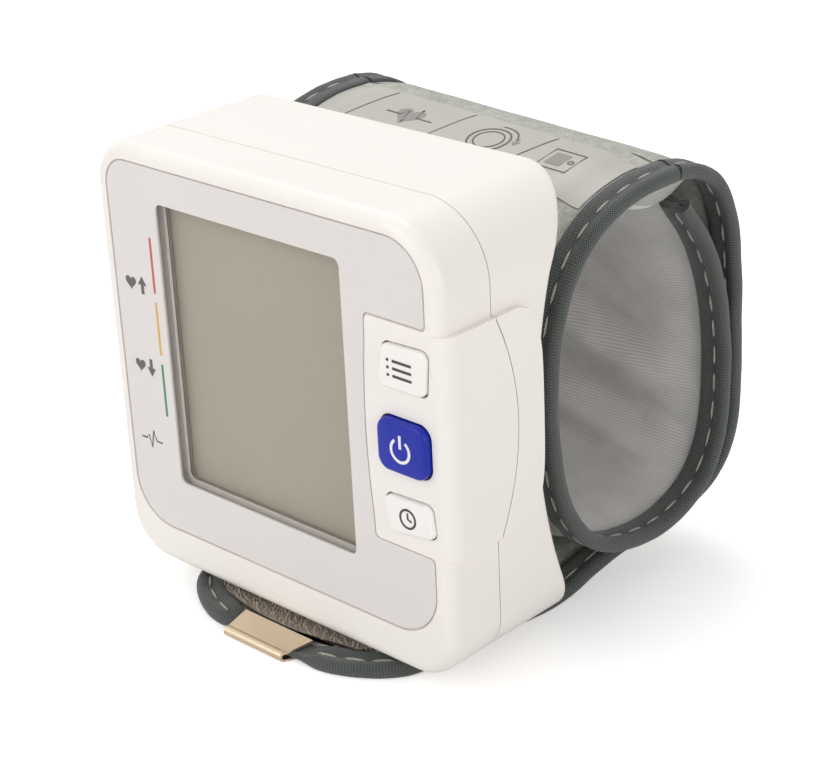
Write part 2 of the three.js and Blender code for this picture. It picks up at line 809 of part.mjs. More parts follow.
function makeValve() {
  const half = valve.width / 2;
  const valveTop = valveBottom + valve.height;
  const block = toSolid(
    box(air.x - half, air.x + half, boardBack + seat, boardBack + valve.depth, valveBottom, valveTop),
  );
  const tip = manifold.top + air.stub + seat;
  return block.add(toSolid(barZ(air.radius, air.x, air.y, tip, valveBottom + seat, 12)));
}

function makeHose(low, high) {
  const inner = air.radius + seat;
  return hoseZ(inner, inner + air.hose, air.x, air.y, low + seat, high - seat);
}

function makeSensor() {
  const half = sensor.side / 2;
  const front = boardBack + seat;
  return box(
    air.x - half,
    air.x + half,
    front,
    air.y - manifold.half - seat,
    sensor.z - half,
    sensor.z + half,
  );
}

// The nipple carries air through the rear wall and the plate into the cuff.
function makeNipple() {
  const front = air.y + manifold.half + seat;
  const back = cradle.depth + plate.gap + plate.thickness + crown.cloth;
  const profile = [
    [air.bore, front],
    [nipple.flange, front],
    [nipple.flange, front + nipple.flangeThickness],
    [air.radius, front + nipple.flangeThickness],
    [air.radius, back],
    [air.bore, back],
    [air.bore, front],
  ].map(([radius, depth]) => new THREE.Vector2(radius, depth));
  return new THREE.LatheGeometry(profile, 20).translate(air.x, 0, cradle.centre);
}

// The plate bends along the cradle and carries the band.
function makePlate() {
  const half = plate.height / 2;
  const outline = new THREE.Shape();
  const steps = 2 * arcSteps;
  const place = (i, depth) => {
    const z = cradle.centre - half + (i / steps) * plate.height;
    return [rearDepth(z) + plate.gap + depth, z];
  };
  outline.moveTo(...place(0, 0));
  for (let i = 1; i <= steps; i++) outline.lineTo(...place(i, 0));
  for (let i = steps; i >= 0; i--) outline.lineTo(...place(i, plate.thickness));
  const holes = [plateScrew.left, plateScrew.right].flatMap((x) => [
    toSolid(barY(boss.hole, x, cradle.centre, 0, cradle.depth * 2, 12)),
    toSolid(barY(screw.head + seat, x, cradle.centre, plateScrewFront - seat, cradle.depth * 2)),
  ]);
  const airHole = toSolid(barY(air.radius + seam, air.x, cradle.centre, 0, cradle.depth * 2));
  const sheet = toSolid(alongX(outline, -plateHalf, plateHalf));
  return carve(sheet, { cut: [...holes, airHole] });
}

const plateScrewFront = cradle.depth + plate.gap + plate.thickness - screw.headDepth;

// Band

const loopBottom = loop.z - loop.halfHeight;

function pathOf(shares, extra = []) {
  const points = shares.map(
    ([y, z]) => new THREE.Vector3(0, loop.y + y * loop.halfDepth, loop.z + z * loop.halfHeight),
  );
  return new THREE.CatmullRomCurve3([...points, ...extra], false, "centripetal");
}

const bandPath = pathOf(bandPathShares);
const tongueMiddle = flap.middle;
const flapPath = pathOf(flapPathShares, [
  new THREE.Vector3(0, flap.rise, tongueMiddle + flap.edge / 2),
  new THREE.Vector3(0, (flap.rise + flap.level) / 2, tongueMiddle),
  new THREE.Vector3(0, flap.level, tongueMiddle),
  new THREE.Vector3(0, (flap.level + flap.tip) / 2, tongueMiddle),
  new THREE.Vector3(0, flap.tip, tongueMiddle),
]);

// A point of the band: share of the path, place across it, distance outwards from the
// middle. The loop leans: its top is higher at the left end than at the right.
function onPath(path, share, x, out) {
  const middle = path.getPointAt(THREE.MathUtils.clamp(share, 0, 1));
  middle.z = Math.max(middle.z, flap.middle);
  const tangent = path.getTangentAt(THREE.MathUtils.clamp(share, 0, 1));
  const y = middle.y - tangent.z * out;
  const z = middle.z + tangent.y * out;
  const height = Math.max(0, z - loopBottom) / (2 * loop.halfHeight);
  return new THREE.Vector3(x, y, z - (loop.lean * height * x) / band.half);
}

function sweep(path, section, from, to, stations) {
  const rings = [];
  for (let i = 0; i <= stations; i++) {
    const share = from + ((to - from) * i) / stations;
    rings.push(section.map(([x, out]) => onPath(path, share, x, out)));
  }
  return loft(rings, capOf(section));
}

// Cloth of the cover (side 1) or the lining (side -1): flat under the tapes, with a crown
function clothSection(side) {
  const edge = band.half - band.edgeRound - 2 * seat - crown.cloth / 2;
  const shoulder = band.half - band.tape - band.shoulder;
  const top = shoulder - band.slope;
  const low = crown.edge - crown.cloth;
  const high = crown.outer - crown.cloth;
  const outer = [
    [-edge, crown.edge],
    [-shoulder, crown.edge],
    [-top, crown.outer],
    [top, crown.outer],
    [shoulder, crown.edge],
    [edge, crown.edge],
  ];
  const inner = [
    [edge, low],
    [shoulder, low],
    [top, high],
    [-top, high],
    [-shoulder, low],
    [-edge, low],
  ];
  return [...outer, ...inner].map(([x, out]) => [x, side * out]);
}

function sheetSection({ side = 0, half = band.half - side, outer, inner }) {
  return [
    [-half, outer],
    [half, outer],
    [half, inner],
    [-half, inner],
  ];
}

// A folded tape as a U round an edge: places inwards from the edge, and outwards
function tapeSection() {
  const { outer, inner } = tape;
  const fold = band.edgeRound;
  return [
    [band.tape, outer],
    [fold, outer],
    [0, outer - fold],
    [0, fold - outer],
    [fold, -outer],
    [band.tape, -outer],
    [band.tape, -inner],
    [fold + seat, -inner],
    [fold + seat, inner],
    [band.tape, inner],
  ];
}

function makeBandTape(side) {
  const section = tapeSection().map(([inwards, out]) => [side * (band.half - inwards), out]);
  return sweep(bandPath, section, 0, 1, bandStations);
}

const nippleCut = () =>
  toSolid(barY(air.radius + seat, air.x, cradle.centre, 0, cradle.depth + plate.thickness + crown.outer * 2));

function makeFilm() {
  const shoulder = band.half - band.tape - band.shoulder;
  const half = shoulder - band.slope - seat;
  const section = sheetSection({
    half,
    outer: crown.outer + seat / 2 + film.thickness,
    inner: crown.outer + seat / 2,
  });
  const start = 1 - film.reach / bandPath.getLength();
  return sweep(bandPath, section, start, 1, arcSteps);
}

// Flap

const flapLength = flapPath.getLength();

// Half width of the flap at a share of its path, with a round tip at the end, or of
// the outline that runs inside its edge by an inset
function flapHalf(share, inset = 0) {
  const fromTip = Math.max(0, (1 - share) * flapLength - inset);
  const tipShare = Math.min(1, fromTip / (flap.tipLength - inset));
  const round = Math.sqrt(1 - (1 - tipShare) ** 2);
  const place = 1 - share;
  const { neck, middle, full } = flapTaperShares;
  const first = THREE.MathUtils.smoothstep(place, neck, middle);
  const second = THREE.MathUtils.smoothstep(place, middle, full);
  const width = flapNeck + (flapMiddle - flapNeck) * first + (band.half - flapMiddle) * second;
  return (width - inset) * round;
}

// Shares of the flap's path, closer together at the round tip
const clipInside = clip.depth - clip.sheet - seat;
const coreEnd = 1 - (clip.depth - clipInside + clip.sheet) / flapLength;
const flapShares = [];
for (let i = 0; i <= flapStations; i++) {
  const share = i / flapStations;
  const late = Math.max(0, share - evenShare) / (1 - evenShare);
  flapShares.push(Math.min(share, evenShare) + (coreEnd - evenShare) * Math.sin((late * Math.PI) / 2));
}

function makeFlap() {
  const rings = flapShares.map((share) => {
    const edge = flapHalf(share, band.edgeRound + 2 * seat);
    const shoulder = Math.max(edge - band.tape - band.shoulder, edge * tipShares.shoulder);
    const top = Math.max(shoulder - band.slope, edge * tipShares.top);
    const fromTip = ((1 - share) * flapLength) / band.tape;
    const swell = THREE.MathUtils.smoothstep(fromTip, tipShares.swellStart, tipShares.swellEnd);
    const middle = flap.edge + (flap.middle - flap.edge) * swell;
    const upper = [
      [-edge, flap.edge],
      [-shoulder, flap.edge],
      [-top, middle],
      [top, middle],
      [shoulder, flap.edge],
      [edge, flap.edge],
    ];
    const lower = upper.toReversed().map(([x, out]) => [x, -out]);
    return [...upper, ...lower].map(([x, out]) => onPath(flapPath, share, x, out));
  });
  const section = [...Array(12).keys()].map((i) => [i < 6 ? i : 11 - i, i < 6 ? 1 : 0]);
  return loft(rings, capOf(section));
}

// The tape follows the flap's edge from the seam to the clip. Its edge is a curve in
// the flap's own plane: distance along the path, and place across it.
function makeFlapTape(side) {
  const end = side > 0 ? clip.right : -clip.left;
  const edge = [];
  for (const share of flapShares) {
    const half = flapHalf(share);
    edge.push([share * flapLength, half]);
  }
  const last = edge.findIndex(([, half], i) => i > flapStations / 2 && half < end + band.tape / 2);
  const kept = last > 0 ? edge.slice(0, last) : edge;
  const rings = kept.map(([along, across], i) => {
    const before = kept[Math.max(0, i - 1)];
    const after = kept[Math.min(kept.length - 1, i + 1)];
    const direction = new THREE.Vector2(after[0] - before[0], after[1] - before[1]).normalize();
    const inwards = new THREE.Vector2(direction.y, -direction.x);
    return tapeSection().map(([depth, out]) => {
      const share = (along + inwards.x * depth) / flapLength;
      return onPath(flapPath, share, side * (across + inwards.y * depth), out);
    });
  });
  return loft(rings, capOf(tapeSection()));
}

function makePatch() {
  const from = 1 - (patch.start + patch.length) / flapLength;
  const to = 1 - patch.start / flapLength;
  const half = flapNeck - patch.side;
  const inner = -flap.middle - seat / 2;
  const section = sheetSection({ half, outer: inner, inner: inner - patch.thickness });
  return sweep(flapPath, section, from, to, 2 * arcSteps);
}

// The clip is a folded sheet round the tongue's tip, with a rolled upper edge.
function makeClip() {
  const front = flap.tip;
  const back = front + clip.depth;
  const outer = rectangle(front, back, 0, clip.height, clip.sheet);
  const slot = rectangle(front + clip.sheet, back + overrun, clip.sheet, clip.height - clip.sheet);
  const roll = barX(
    clip.roll,
    back - clip.roll,
    clip.height,
    clip.left,
    clip.right,
    12,
  );
  return carve(toSolid(alongX(outer, clip.left, clip.right)), {
    add: [toSolid(roll)],
    cut: [toSolid(alongX(slot, clip.left - overrun, clip.right + overrun))],
  });
}

// Assembly

const monitor = new THREE.Group();

function place(name, shape, finish) {
  const geometry = shape.isBufferGeometry ? shape : toGeometry(shape);
  const mesh = new THREE.Mesh(geometry, finish);
  mesh.name = name;
  monitor.add(mesh);
}

const shellForm = bodyForm(0, 0, body.frontRound, 0).add(gripForm());
const hollow = bodyForm(body.wall, body.frontWall, body.innerRound, body.wall);

place("front_shell", makeFrontShell(shellForm, hollow), material(0xf0ece6, 0.42));
place("rear_shell", makeRearShell(shellForm, hollow), material(0xeae4dc, 0.45));
place("battery_door", makeDoor(), material(0xebe6de, 0.45));
place(
  "label_film",
  toSolid(alongY(labelShape(0), 0, label.thickness)).subtract(
    toSolid(alongY(windowShape(0), -overrun, overrun)),
  ),
  material(0xd9d6d2, 0.4),
);
place(
  "lens_window",
  alongY(windowShape(lens.border), labelPocket, labelPocket + lens.thickness),
  material(0xdde4e6, 0.08),
);
place(
  "lcd_glass",
  alongY(windowShape(lcd.border), lcd.front, lcd.front + lcd.thickness),
  material(0xaaa08f, 0.3),
);
place("lcd_frame", makeLcdFrame(), material(0x8d8a85, 0.6));
place(
  "conductive_strip",
  box(
    window_.left + strip.side,
    window_.right - strip.side,
    lcd.front + lcd.thickness + seat / 2,
    board.front - seat / 2,
    window_.bottom - lcd.border + strip.inset,
    window_.bottom - lcd.border + strip.inset + strip.height,
  ),
  material(0x3a3a3c, 0.7),
);
place("circuit_board", makeBoard(), material(0x2f6b45, 0.6));

for (const [buttonName, switchName, button] of buttons) {
  const blue = button === startButton;
  place(buttonName, makeButton(button), material(blue ? 0x2d3cb4 : 0xf3f1ec, blue ? 0.3 : 0.4));
  place(switchName, makeSwitch(button), material(0x303236, 0.5));
}

const screwNames = ["bottom_left", "bottom_right", "top_left", "top_right"];
screwPlaces.forEach(([x, z], i) => {
  place(`shell_screw_${screwNames[i]}`, makeScrew(x, z, screwSeat + seat), material(0xb8bbbf, 0.35, 0.9));
});

place("battery_tray", makeTray(), material(0x2e2f33, 0.6));
place("battery_left", makeCell(cellX[0], 1), material(0x4a5a52, 0.35, 0.3));
place("battery_right", makeCell(cellX[1], -1), material(0x4a5a52, 0.35, 0.3));
place("battery_link_plate", makeContact(cellX[0], cellX[1], -1), material(0xc3c6c9, 0.3, 0.9));
place("battery_plus_tab", makeContact(cellX[0], cellX[0], 1), material(0xc3c6c9, 0.3, 0.9));
place("battery_minus_tab", makeContact(cellX[1], cellX[1], 1), material(0xc3c6c9, 0.3, 0.9));
place("battery_spring_left", makeSpring(cellX[0], -1), material(0xc3c6c9, 0.3, 0.9));
place("battery_spring_right", makeSpring(cellX[1], 1), material(0xc3c6c9, 0.3, 0.9));

place("pump_motor", makeMotor(), material(0xb4b6b8, 0.35, 0.9));
place("pump_head", makePumpHead(), material(0x24262a, 0.5));
place("air_manifold", makeManifold(), material(0xd8d8d2, 0.5));
place("pump_hose", makeHose(manifold.bottom - 2 * air.stub, manifold.bottom), material(0xc9c6bd, 0.5));
place("valve_hose", makeHose(manifold.top, valveBottom), material(0xc9c6bd, 0.5));
place("release_valve", makeValve(), material(0x9c9fa3, 0.4, 0.8));
place("pressure_sensor", makeSensor(), material(0x2a2c30, 0.5));
place("cuff_nipple", makeNipple(), material(0xd8d8d2, 0.5));

place("cuff_plate", makePlate(), material(0x4d4f52, 0.6));
place(
  "plate_screw_left",
  makeScrew(plateScrew.left, cradle.centre, plateScrewFront),
  material(0xb8bbbf, 0.35, 0.9),
);
place(
  "plate_screw_right",
  makeScrew(plateScrew.right, cradle.centre, plateScrewFront),
  material(0xb8bbbf, 0.35, 0.9),
);

const cover = toSolid(sweep(bandPath, clothSection(1), 0, 1, bandStations));
const sheet = toSolid(sweep(bandPath, sheetSection(stiffener), 0, 1, bandStations));
place("cuff_cover", cover.subtract(nippleCut()), material(0xb4b8ac, 0.95));
place("cuff_stiffener", sheet.subtract(nippleCut()), material(0xe6e6e2, 0.6));
place("air_bladder", sweep(bandPath, sheetSection(bladder), 0, 1, bandStations), material(0x6f7468, 0.6));
place("cuff_lining", sweep(bandPath, clothSection(-1), 0, 1, bandStations), material(0x96948f, 0.95));
place("band_tape_right", makeBandTape(1), material(0x4a4f4c, 0.9));
place("band_tape_left", makeBandTape(-1), material(0x4a4f4c, 0.9));
place("print_film", makeFilm(), material(0xcdc8c0, 0.35));

place("flap", makeFlap(), material(0xb9bcaf, 0.95));
place("flap_tape_right", makeFlapTape(1), material(0x4a4f4c, 0.9));
place("flap_tape_left", makeFlapTape(-1), material(0x4a4f4c, 0.9));
place("hook_patch", makePatch(), material(0x6b6258, 0.95));
place("end_clip", makeClip(), material(0xc8b496, 0.3, 1));

// The origin goes to the bottom centre of the whole part.
const bounds = new THREE.Box3().setFromObject(monitor);
const middle = bounds.getCenter(new THREE.Vector3());
monitor.position.set(-middle.x, -middle.y, -bounds.min.z);

export default monitor;
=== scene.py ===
# %% [markdown]
# # A wrist blood pressure monitor
# The display unit is hard moulded plastic, and the cuff is padded cloth bound with woven tape.
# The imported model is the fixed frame: every piece here goes where that model says, in metres.
# Lengths are written in millimetres in the model's drawing coordinates (x to the right, y from the
# front plane towards the wrist, z up from the table) and one matrix sets them down in the frame.

# %% Load the frame
import json
import math

import bmesh
import bpy
import numpy as np
from mathutils import Matrix, Vector, noise

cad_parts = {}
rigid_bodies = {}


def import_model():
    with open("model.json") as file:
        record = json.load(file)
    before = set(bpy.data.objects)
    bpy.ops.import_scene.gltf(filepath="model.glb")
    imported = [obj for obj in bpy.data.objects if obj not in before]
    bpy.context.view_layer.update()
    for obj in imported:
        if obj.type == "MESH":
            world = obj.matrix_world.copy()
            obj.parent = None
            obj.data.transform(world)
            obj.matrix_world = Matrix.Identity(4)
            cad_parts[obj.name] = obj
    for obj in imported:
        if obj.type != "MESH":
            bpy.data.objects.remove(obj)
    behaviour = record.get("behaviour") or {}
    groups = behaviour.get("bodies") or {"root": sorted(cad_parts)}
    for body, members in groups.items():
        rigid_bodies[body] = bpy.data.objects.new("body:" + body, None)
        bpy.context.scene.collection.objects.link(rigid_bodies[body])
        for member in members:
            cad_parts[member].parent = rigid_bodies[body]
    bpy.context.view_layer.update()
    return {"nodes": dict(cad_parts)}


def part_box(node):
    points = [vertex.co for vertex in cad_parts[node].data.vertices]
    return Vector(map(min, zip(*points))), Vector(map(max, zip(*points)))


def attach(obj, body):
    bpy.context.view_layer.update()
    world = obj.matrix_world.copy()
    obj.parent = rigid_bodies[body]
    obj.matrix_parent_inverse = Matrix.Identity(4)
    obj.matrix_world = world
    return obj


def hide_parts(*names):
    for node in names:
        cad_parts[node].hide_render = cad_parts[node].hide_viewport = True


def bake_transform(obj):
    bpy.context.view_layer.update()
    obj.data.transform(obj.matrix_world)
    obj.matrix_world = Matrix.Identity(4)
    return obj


for leftover in list(bpy.data.objects):
    bpy.data.objects.remove(leftover)
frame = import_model()
label_low, label_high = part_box("label_film")
ORIGIN = Vector(((label_low.x + label_high.x) / 2, label_low.y, 0.0))
PLACE = Matrix.Translation(ORIGIN) @ Matrix.Scale(0.001, 4)

# %% [markdown]
# ## Camera, floor and light
# The photograph was taken from the front right and above, with a long lens. A pose solved from the
# corners of the label and the buttons gives the camera's place, turn and focal length. The floor is
# one wide white sheet. It looks white to the camera and still takes the unit's soft shadow.

# %% Set the camera
azimuth, elevation, roll = 0.7696, 0.4229, -0.0489
level_part = math.cos(elevation)
back = Vector(
    (math.sin(azimuth) * level_part, -math.cos(azimuth) * level_part, math.sin(elevation))
)
level = Vector((math.cos(azimuth), math.sin(azimuth), 0))
upright = back.cross(level)
right = math.cos(roll) * level + math.sin(roll) * upright
up = -math.sin(roll) * level + math.cos(roll) * upright
label_middle = ORIGIN + Vector((0, 0, 0.042))
RIGHTWARDS, UPWARDS, AWAY = 0.0220137, 0.0020666, 0.3235936
camera = bpy.data.objects.new("camera", bpy.data.cameras.new("camera"))
bpy.context.scene.collection.objects.link(camera)
camera.matrix_world = Matrix.Translation(
    label_middle + right * RIGHTWARDS + up * UPWARDS + back * AWAY
) @ Matrix((right, up, back)).transposed().to_4x4()
camera.data.sensor_fit = "HORIZONTAL"
camera.data.sensor_width = 36
camera.data.lens = 94.27
camera.data.clip_start = 0.01
bpy.context.scene.camera = camera
bpy.context.scene.view_settings.view_transform = "Standard"
print("camera at", [round(value, 4) for value in camera.matrix_world.translation])


# %% Colour and node helpers
def colour(red, green, blue):
    """A colour read from a screen, 0 to 255, as the shader's linear values."""
    levels = [value / 255 for value in (red, green, blue)]
    linear = [v / 12.92 if v <= 0.04045 else ((v + 0.055) / 1.055) ** 2.4 for v in levels]
    return (*linear, 1)


def new_material(name, base, roughness, metallic=0.0, coat=0.0, specular=0.5):
    """A material with its nodes, and the Principled shader to wire patterns into."""
    made = bpy.data.materials.new(name)
    made.use_nodes = True
    shader = made.node_tree.nodes["Principled BSDF"]
    shader.inputs["Base Color"].default_value = base
    shader.inputs["Roughness"].default_value = roughness
    shader.inputs["Metallic"].default_value = metallic
    shader.inputs["Coat Weight"].default_value = coat
    shader.inputs["Specular IOR Level"].default_value = specular
    return made, made.node_tree, shader


def add(tree, kind, **values):
    """A node of a kind; values with an upper-case first letter or a number are its inputs."""
    node = tree.nodes.new(kind)
    for key, value in values.items():
        if key[0].isupper():
            node.inputs[key.replace("_", " ")].default_value = value
        else:
            setattr(node, key, value)
    return node


def new_group(name, inputs, outputs):
    """A shader node group with named inputs (name, kind, default) and outputs (name, kind)."""
    group = bpy.data.node_groups.new(name, "ShaderNodeTree")
    for title, kind, default in inputs:
        made = group.interface.new_socket(title, in_out="INPUT", socket_type=kind)
        if default is not None:
            made.default_value = default
    for title, kind in outputs:
        group.interface.new_socket(title, in_out="OUTPUT", socket_type=kind)
    return group, add(group, "NodeGroupInput"), add(group, "NodeGroupOutput")


def wire(tree, *links):
    """Joins sockets; a link is (node, output, node, input)."""
    for source, output, target, socket in links:
        tree.links.new(source.outputs[output], target.inputs[socket])


def pattern_node(tree, group, coordinates, **amounts):
    """A shared pattern fed by one of the object's own coordinates, and the node of those."""
    place = add(tree, "ShaderNodeTexCoord")
    pattern = add(tree, "ShaderNodeGroup", node_tree=group, **amounts)
    wire(tree, (place, coordinates, pattern, "Vector"))
    return place, pattern


FLOAT, VECTOR = "NodeSocketFloat", "NodeSocketVector"

# %% [markdown]
# ## Shared effects
# A material needs more than one flat colour. Moulded plastic has a fine grain and faint changes of
# tone, woven tape has ribs, and fleece has short fibres that catch the light. Each effect is one
# node group with named inputs, so that every material uses the same pattern with its own values.

# %% Moulded grain
grain_group, enter, leave = new_group(
    "moulded grain",
    [("Vector", VECTOR, None), ("Scale", FLOAT, 2400.0)],
    [("Height", FLOAT), ("Tone", FLOAT)],
)
fine = add(grain_group, "ShaderNodeTexNoise", Detail=3.0, Roughness=0.6)
broad = add(grain_group, "ShaderNodeTexNoise", Scale=45.0, Detail=2.0)
wire(
    grain_group,
    (enter, "Vector", fine, "Vector"),
    (enter, "Scale", fine, "Scale"),
    (enter, "Vector", broad, "Vector"),
    (fine, 0, leave, "Height"),
    (broad, 0, leave, "Tone"),
)

# %% Fleece fibres
# Two noises, at the size of a tuft and of a fibre. The finer one is stretched along the cloth.
fleece_group, enter, leave = new_group(
    "fleece fibres",
    [("Vector", VECTOR, None), ("Scale", FLOAT, 1.0)],
    [("Height", FLOAT), ("Mask", FLOAT)],
)
scaled = add(fleece_group, "ShaderNodeVectorMath", operation="SCALE")
stretch = add(fleece_group, "ShaderNodeMapping", Scale=(0.35, 1.0, 1.0), Rotation=(0, 0, 0.5))
tuft = add(fleece_group, "ShaderNodeTexNoise", Scale=60.0, Detail=4.0, Roughness=0.65)
fibre = add(fleece_group, "ShaderNodeTexNoise", Scale=420.0, Detail=3.0, Roughness=0.7)
both = add(fleece_group, "ShaderNodeMath", operation="MULTIPLY")
total = add(fleece_group, "ShaderNodeMath", operation="ADD")
wire(
    fleece_group,
    (enter, "Vector", scaled, 0),
    (enter, "Scale", scaled, "Scale"),
    (scaled, 0, tuft, "Vector"),
    (scaled, 0, stretch, "Vector"),
    (stretch, 0, fibre, "Vector"),
    (tuft, 0, both, 0),
    (fibre, 0, both, 1),
    (both, 0, total, 0),
    (fibre, 0, total, 1),
    (total, 0, leave, "Height"),
    (both, 0, leave, "Mask"),
)

# %% Woven ribs
# Ribs run across the cloth and yarns along it. Cross is 0 for plain ribs and 1 for a basket weave.
# The pattern reads the piece's own flat map, whose unit is a decimetre, so a pitch is given in
# repeats to the decimetre. A slow noise lets the threads wander by up to WANDER repeats.
WANDER = 1.4
weave_inputs = [("Ribs", FLOAT, 220.0), ("Yarns", FLOAT, 260.0), ("Cross", FLOAT, 0.3)]
weave_group, enter, leave = new_group(
    "woven ribs",
    [("Vector", VECTOR, None), *weave_inputs],
    [("Height", FLOAT), ("Mask", FLOAT)],
)
split = add(weave_group, "ShaderNodeSeparateXYZ")
wander = add(weave_group, "ShaderNodeTexNoise", Scale=9.0, Detail=1.0)
wire(weave_group, (enter, "Vector", split, 0), (enter, "Vector", wander, "Vector"))
waves = []
for axis, count in (("X", "Ribs"), ("Y", "Yarns")):
    turns = add(weave_group, "ShaderNodeMath", operation="MULTIPLY")
    shifted = add(weave_group, "ShaderNodeMath", operation="MULTIPLY_ADD")
    shifted.inputs[1].default_value = WANDER
    angle = add(weave_group, "ShaderNodeMath", operation="MULTIPLY")
    angle.inputs[1].default_value = 2 * math.pi
    wave = add(weave_group, "ShaderNodeMath", operation="SINE")
    wire(
        weave_group,
        (split, axis, turns, 0),
        (enter, count, turns, 1),
        (wander, 0, shifted, 0),
        (turns, 0, shifted, 2),
        (shifted, 0, angle, 0),
        (angle, 0, wave, 0),
    )
    waves.append(wave)
crossing = add(weave_group, "ShaderNodeMix", data_type="FLOAT")
crossing.inputs[2].default_value = 1.0
height = add(weave_group, "ShaderNodeMath", operation="MULTIPLY")
mask = add(weave_group, "ShaderNodeMapRange", From_Min=-1.0, From_Max=1.0)
wire(
    weave_group,
    (enter, "Cross", crossing, 0),
    (waves[1], 0, crossing, 3),
    (waves[0], 0, height, 0),
    (crossing, 0, height, 1),
    (height, 0, mask, "Value"),
    (height, 0, leave, "Height"),
    (mask, 0, leave, "Mask"),
)
print("node groups:", [group.name for group in bpy.data.node_groups])


# %% [markdown]
# ## Finishes
# Plastics take the moulded grain as a faint bump and a small change of tone. Cloths mix two
# colours by their weave or fibres and take the same pattern as their bump, so colour and relief
# agree. Colours were read from the photograph where the light falls straight on the surface.

# %% Plastic finish
def plastic(
    name, base, other, roughness, grain=0.08, scale=2400.0, coat=0.0, metallic=0.0, specular=0.5
):
    """Satin or glossy moulded plastic, or a plain metal with the same faint grain."""
    base, other = colour(*base), colour(*other)
    made, tree, shader = new_material(name, base, roughness, metallic, coat, specular)
    _, pattern = pattern_node(tree, grain_group, "Object", Scale=scale)
    mix = add(tree, "ShaderNodeMix", data_type="RGBA")
    mix.inputs[6].default_value = base
    mix.inputs[7].default_value = other
    bump = add(tree, "ShaderNodeBump", Strength=grain, Distance=0.0002)
    wire(
        tree,
        (pattern, "Tone", mix, 0),
        (mix, 2, shader, "Base Color"),
        (pattern, "Height", bump, "Height"),
        (bump, 0, shader, "Normal"),
    )
    return made


shell_white = plastic("shell white", (243, 238, 232), (238, 232, 226), 0.38, 0.06)
label_grey = plastic("label grey", (226, 221, 218), (220, 215, 212), 0.35, 0.05, 3200.0)
button_white = plastic("button white", (246, 244, 240), (240, 237, 232), 0.34, 0.05)
button_blue = plastic(
    "button blue", (26, 44, 172), (18, 34, 150), 0.3, 0.22, 1500.0, specular=0.3
)
display_grey = plastic(
    "display grey", (192, 182, 164), (186, 176, 158), 0.5, 0.0, specular=0.2
)
frame_grey = plastic("frame grey", (150, 142, 128), (140, 132, 118), 0.6)
black_plastic = plastic("black plastic", (46, 47, 50), (38, 39, 42), 0.5)
natural_plastic = plastic("natural plastic", (222, 221, 214), (210, 208, 200), 0.5)
plate_grey = plastic("plate grey", (92, 94, 97), (80, 82, 85), 0.55, 0.15)
board_green = plastic("board green", (42, 104, 68), (34, 90, 58), 0.4, 0.1)
strip_rubber = plastic("strip rubber", (54, 54, 56), (44, 44, 46), 0.7)
hose_rubber = plastic("hose rubber", (206, 203, 194), (194, 190, 180), 0.55)
bladder_rubber = plastic("bladder rubber", (112, 117, 106), (100, 105, 95), 0.6)
cell_jacket = plastic("cell jacket", (72, 90, 80), (62, 80, 70), 0.35, 0.05, coat=0.4)
steel = plastic("steel", (190, 192, 196), (172, 174, 178), 0.32, 0.1, 900.0, metallic=1.0)
clip_metal = plastic(
    "clip metal", (226, 208, 182), (206, 186, 158), 0.3, 0.2, 700.0, metallic=1.0
)
print_ink = plastic("print ink", (104, 102, 100), (90, 88, 86), 0.5)
printed_film = plastic(
    "printed film", (188, 184, 176), (174, 171, 162), 0.34, 0.05, 500.0, specular=0.35
)
film_ink = plastic("film ink", (84, 84, 82), (72, 72, 71), 0.4, specular=0.3)
film_tint = plastic("film tint", (146, 144, 138), (134, 132, 126), 0.4, specular=0.3)
icon_dark = plastic("icon dark", (72, 70, 70), (60, 58, 58), 0.5)
icon_white = plastic("icon white", (238, 238, 240), (228, 228, 232), 0.4)
bar_red = plastic("bar red", (206, 92, 84), (196, 80, 74), 0.45)
bar_yellow = plastic("bar yellow", (222, 178, 92), (212, 166, 80), 0.45)
bar_green = plastic("bar green", (74, 138, 104), (64, 126, 94), 0.45)


# %% Window finish
# The window is clear and thin, so it lets the display through by its alpha and adds only gloss.
window_clear, tree, shader = new_material("window clear", colour(150, 150, 146), 0.06)
_, pattern = pattern_node(tree, grain_group, "Object", Scale=300.0)
polish = add(tree, "ShaderNodeMapRange", To_Min=0.04, To_Max=0.1)
wire(tree, (pattern, "Tone", polish, "Value"), (polish, 0, shader, "Roughness"))
shader.inputs["Alpha"].default_value = 0.1


# %% Cloth finish
def cloth(name, low, high, roughness, depth, contrast, group, **amounts):
    """Cloth whose colour and relief come from one pattern on its own flat map."""
    low, high = colour(*low), colour(*high)
    made, tree, shader = new_material(name, high, roughness, specular=0.2)
    shader.inputs["Sheen Weight"].default_value = 0.25
    shader.inputs["Sheen Roughness"].default_value = 0.5
    place, pattern = pattern_node(tree, group, "UV", **amounts)
    ramp = add(tree, "ShaderNodeValToRGB")
    for element, position, tone in zip(ramp.color_ramp.elements, contrast, (low, high)):
        element.position = position
        element.color = tone
    speck = add(tree, "ShaderNodeTexNoise", Scale=14.0, Detail=3.0)
    soft = add(tree, "ShaderNodeMapRange", To_Min=0.8, To_Max=1.15)
    stain = add(tree, "ShaderNodeMix", data_type="RGBA", blend_type="MULTIPLY")
    stain.inputs[0].default_value = 1.0
    bump = add(tree, "ShaderNodeBump", Strength=depth, Distance=0.0003)
    wire(
        tree,
        (place, "UV", speck, "Vector"),
        (pattern, "Mask", ramp, 0),
        (speck, 0, soft, "Value"),
        (ramp, 0, stain, 6),
        (soft, 0, stain, 7),
        (stain, 2, shader, "Base Color"),
        (pattern, "Height", bump, "Height"),
        (bump, 0, shader, "Normal"),
    )
    return made


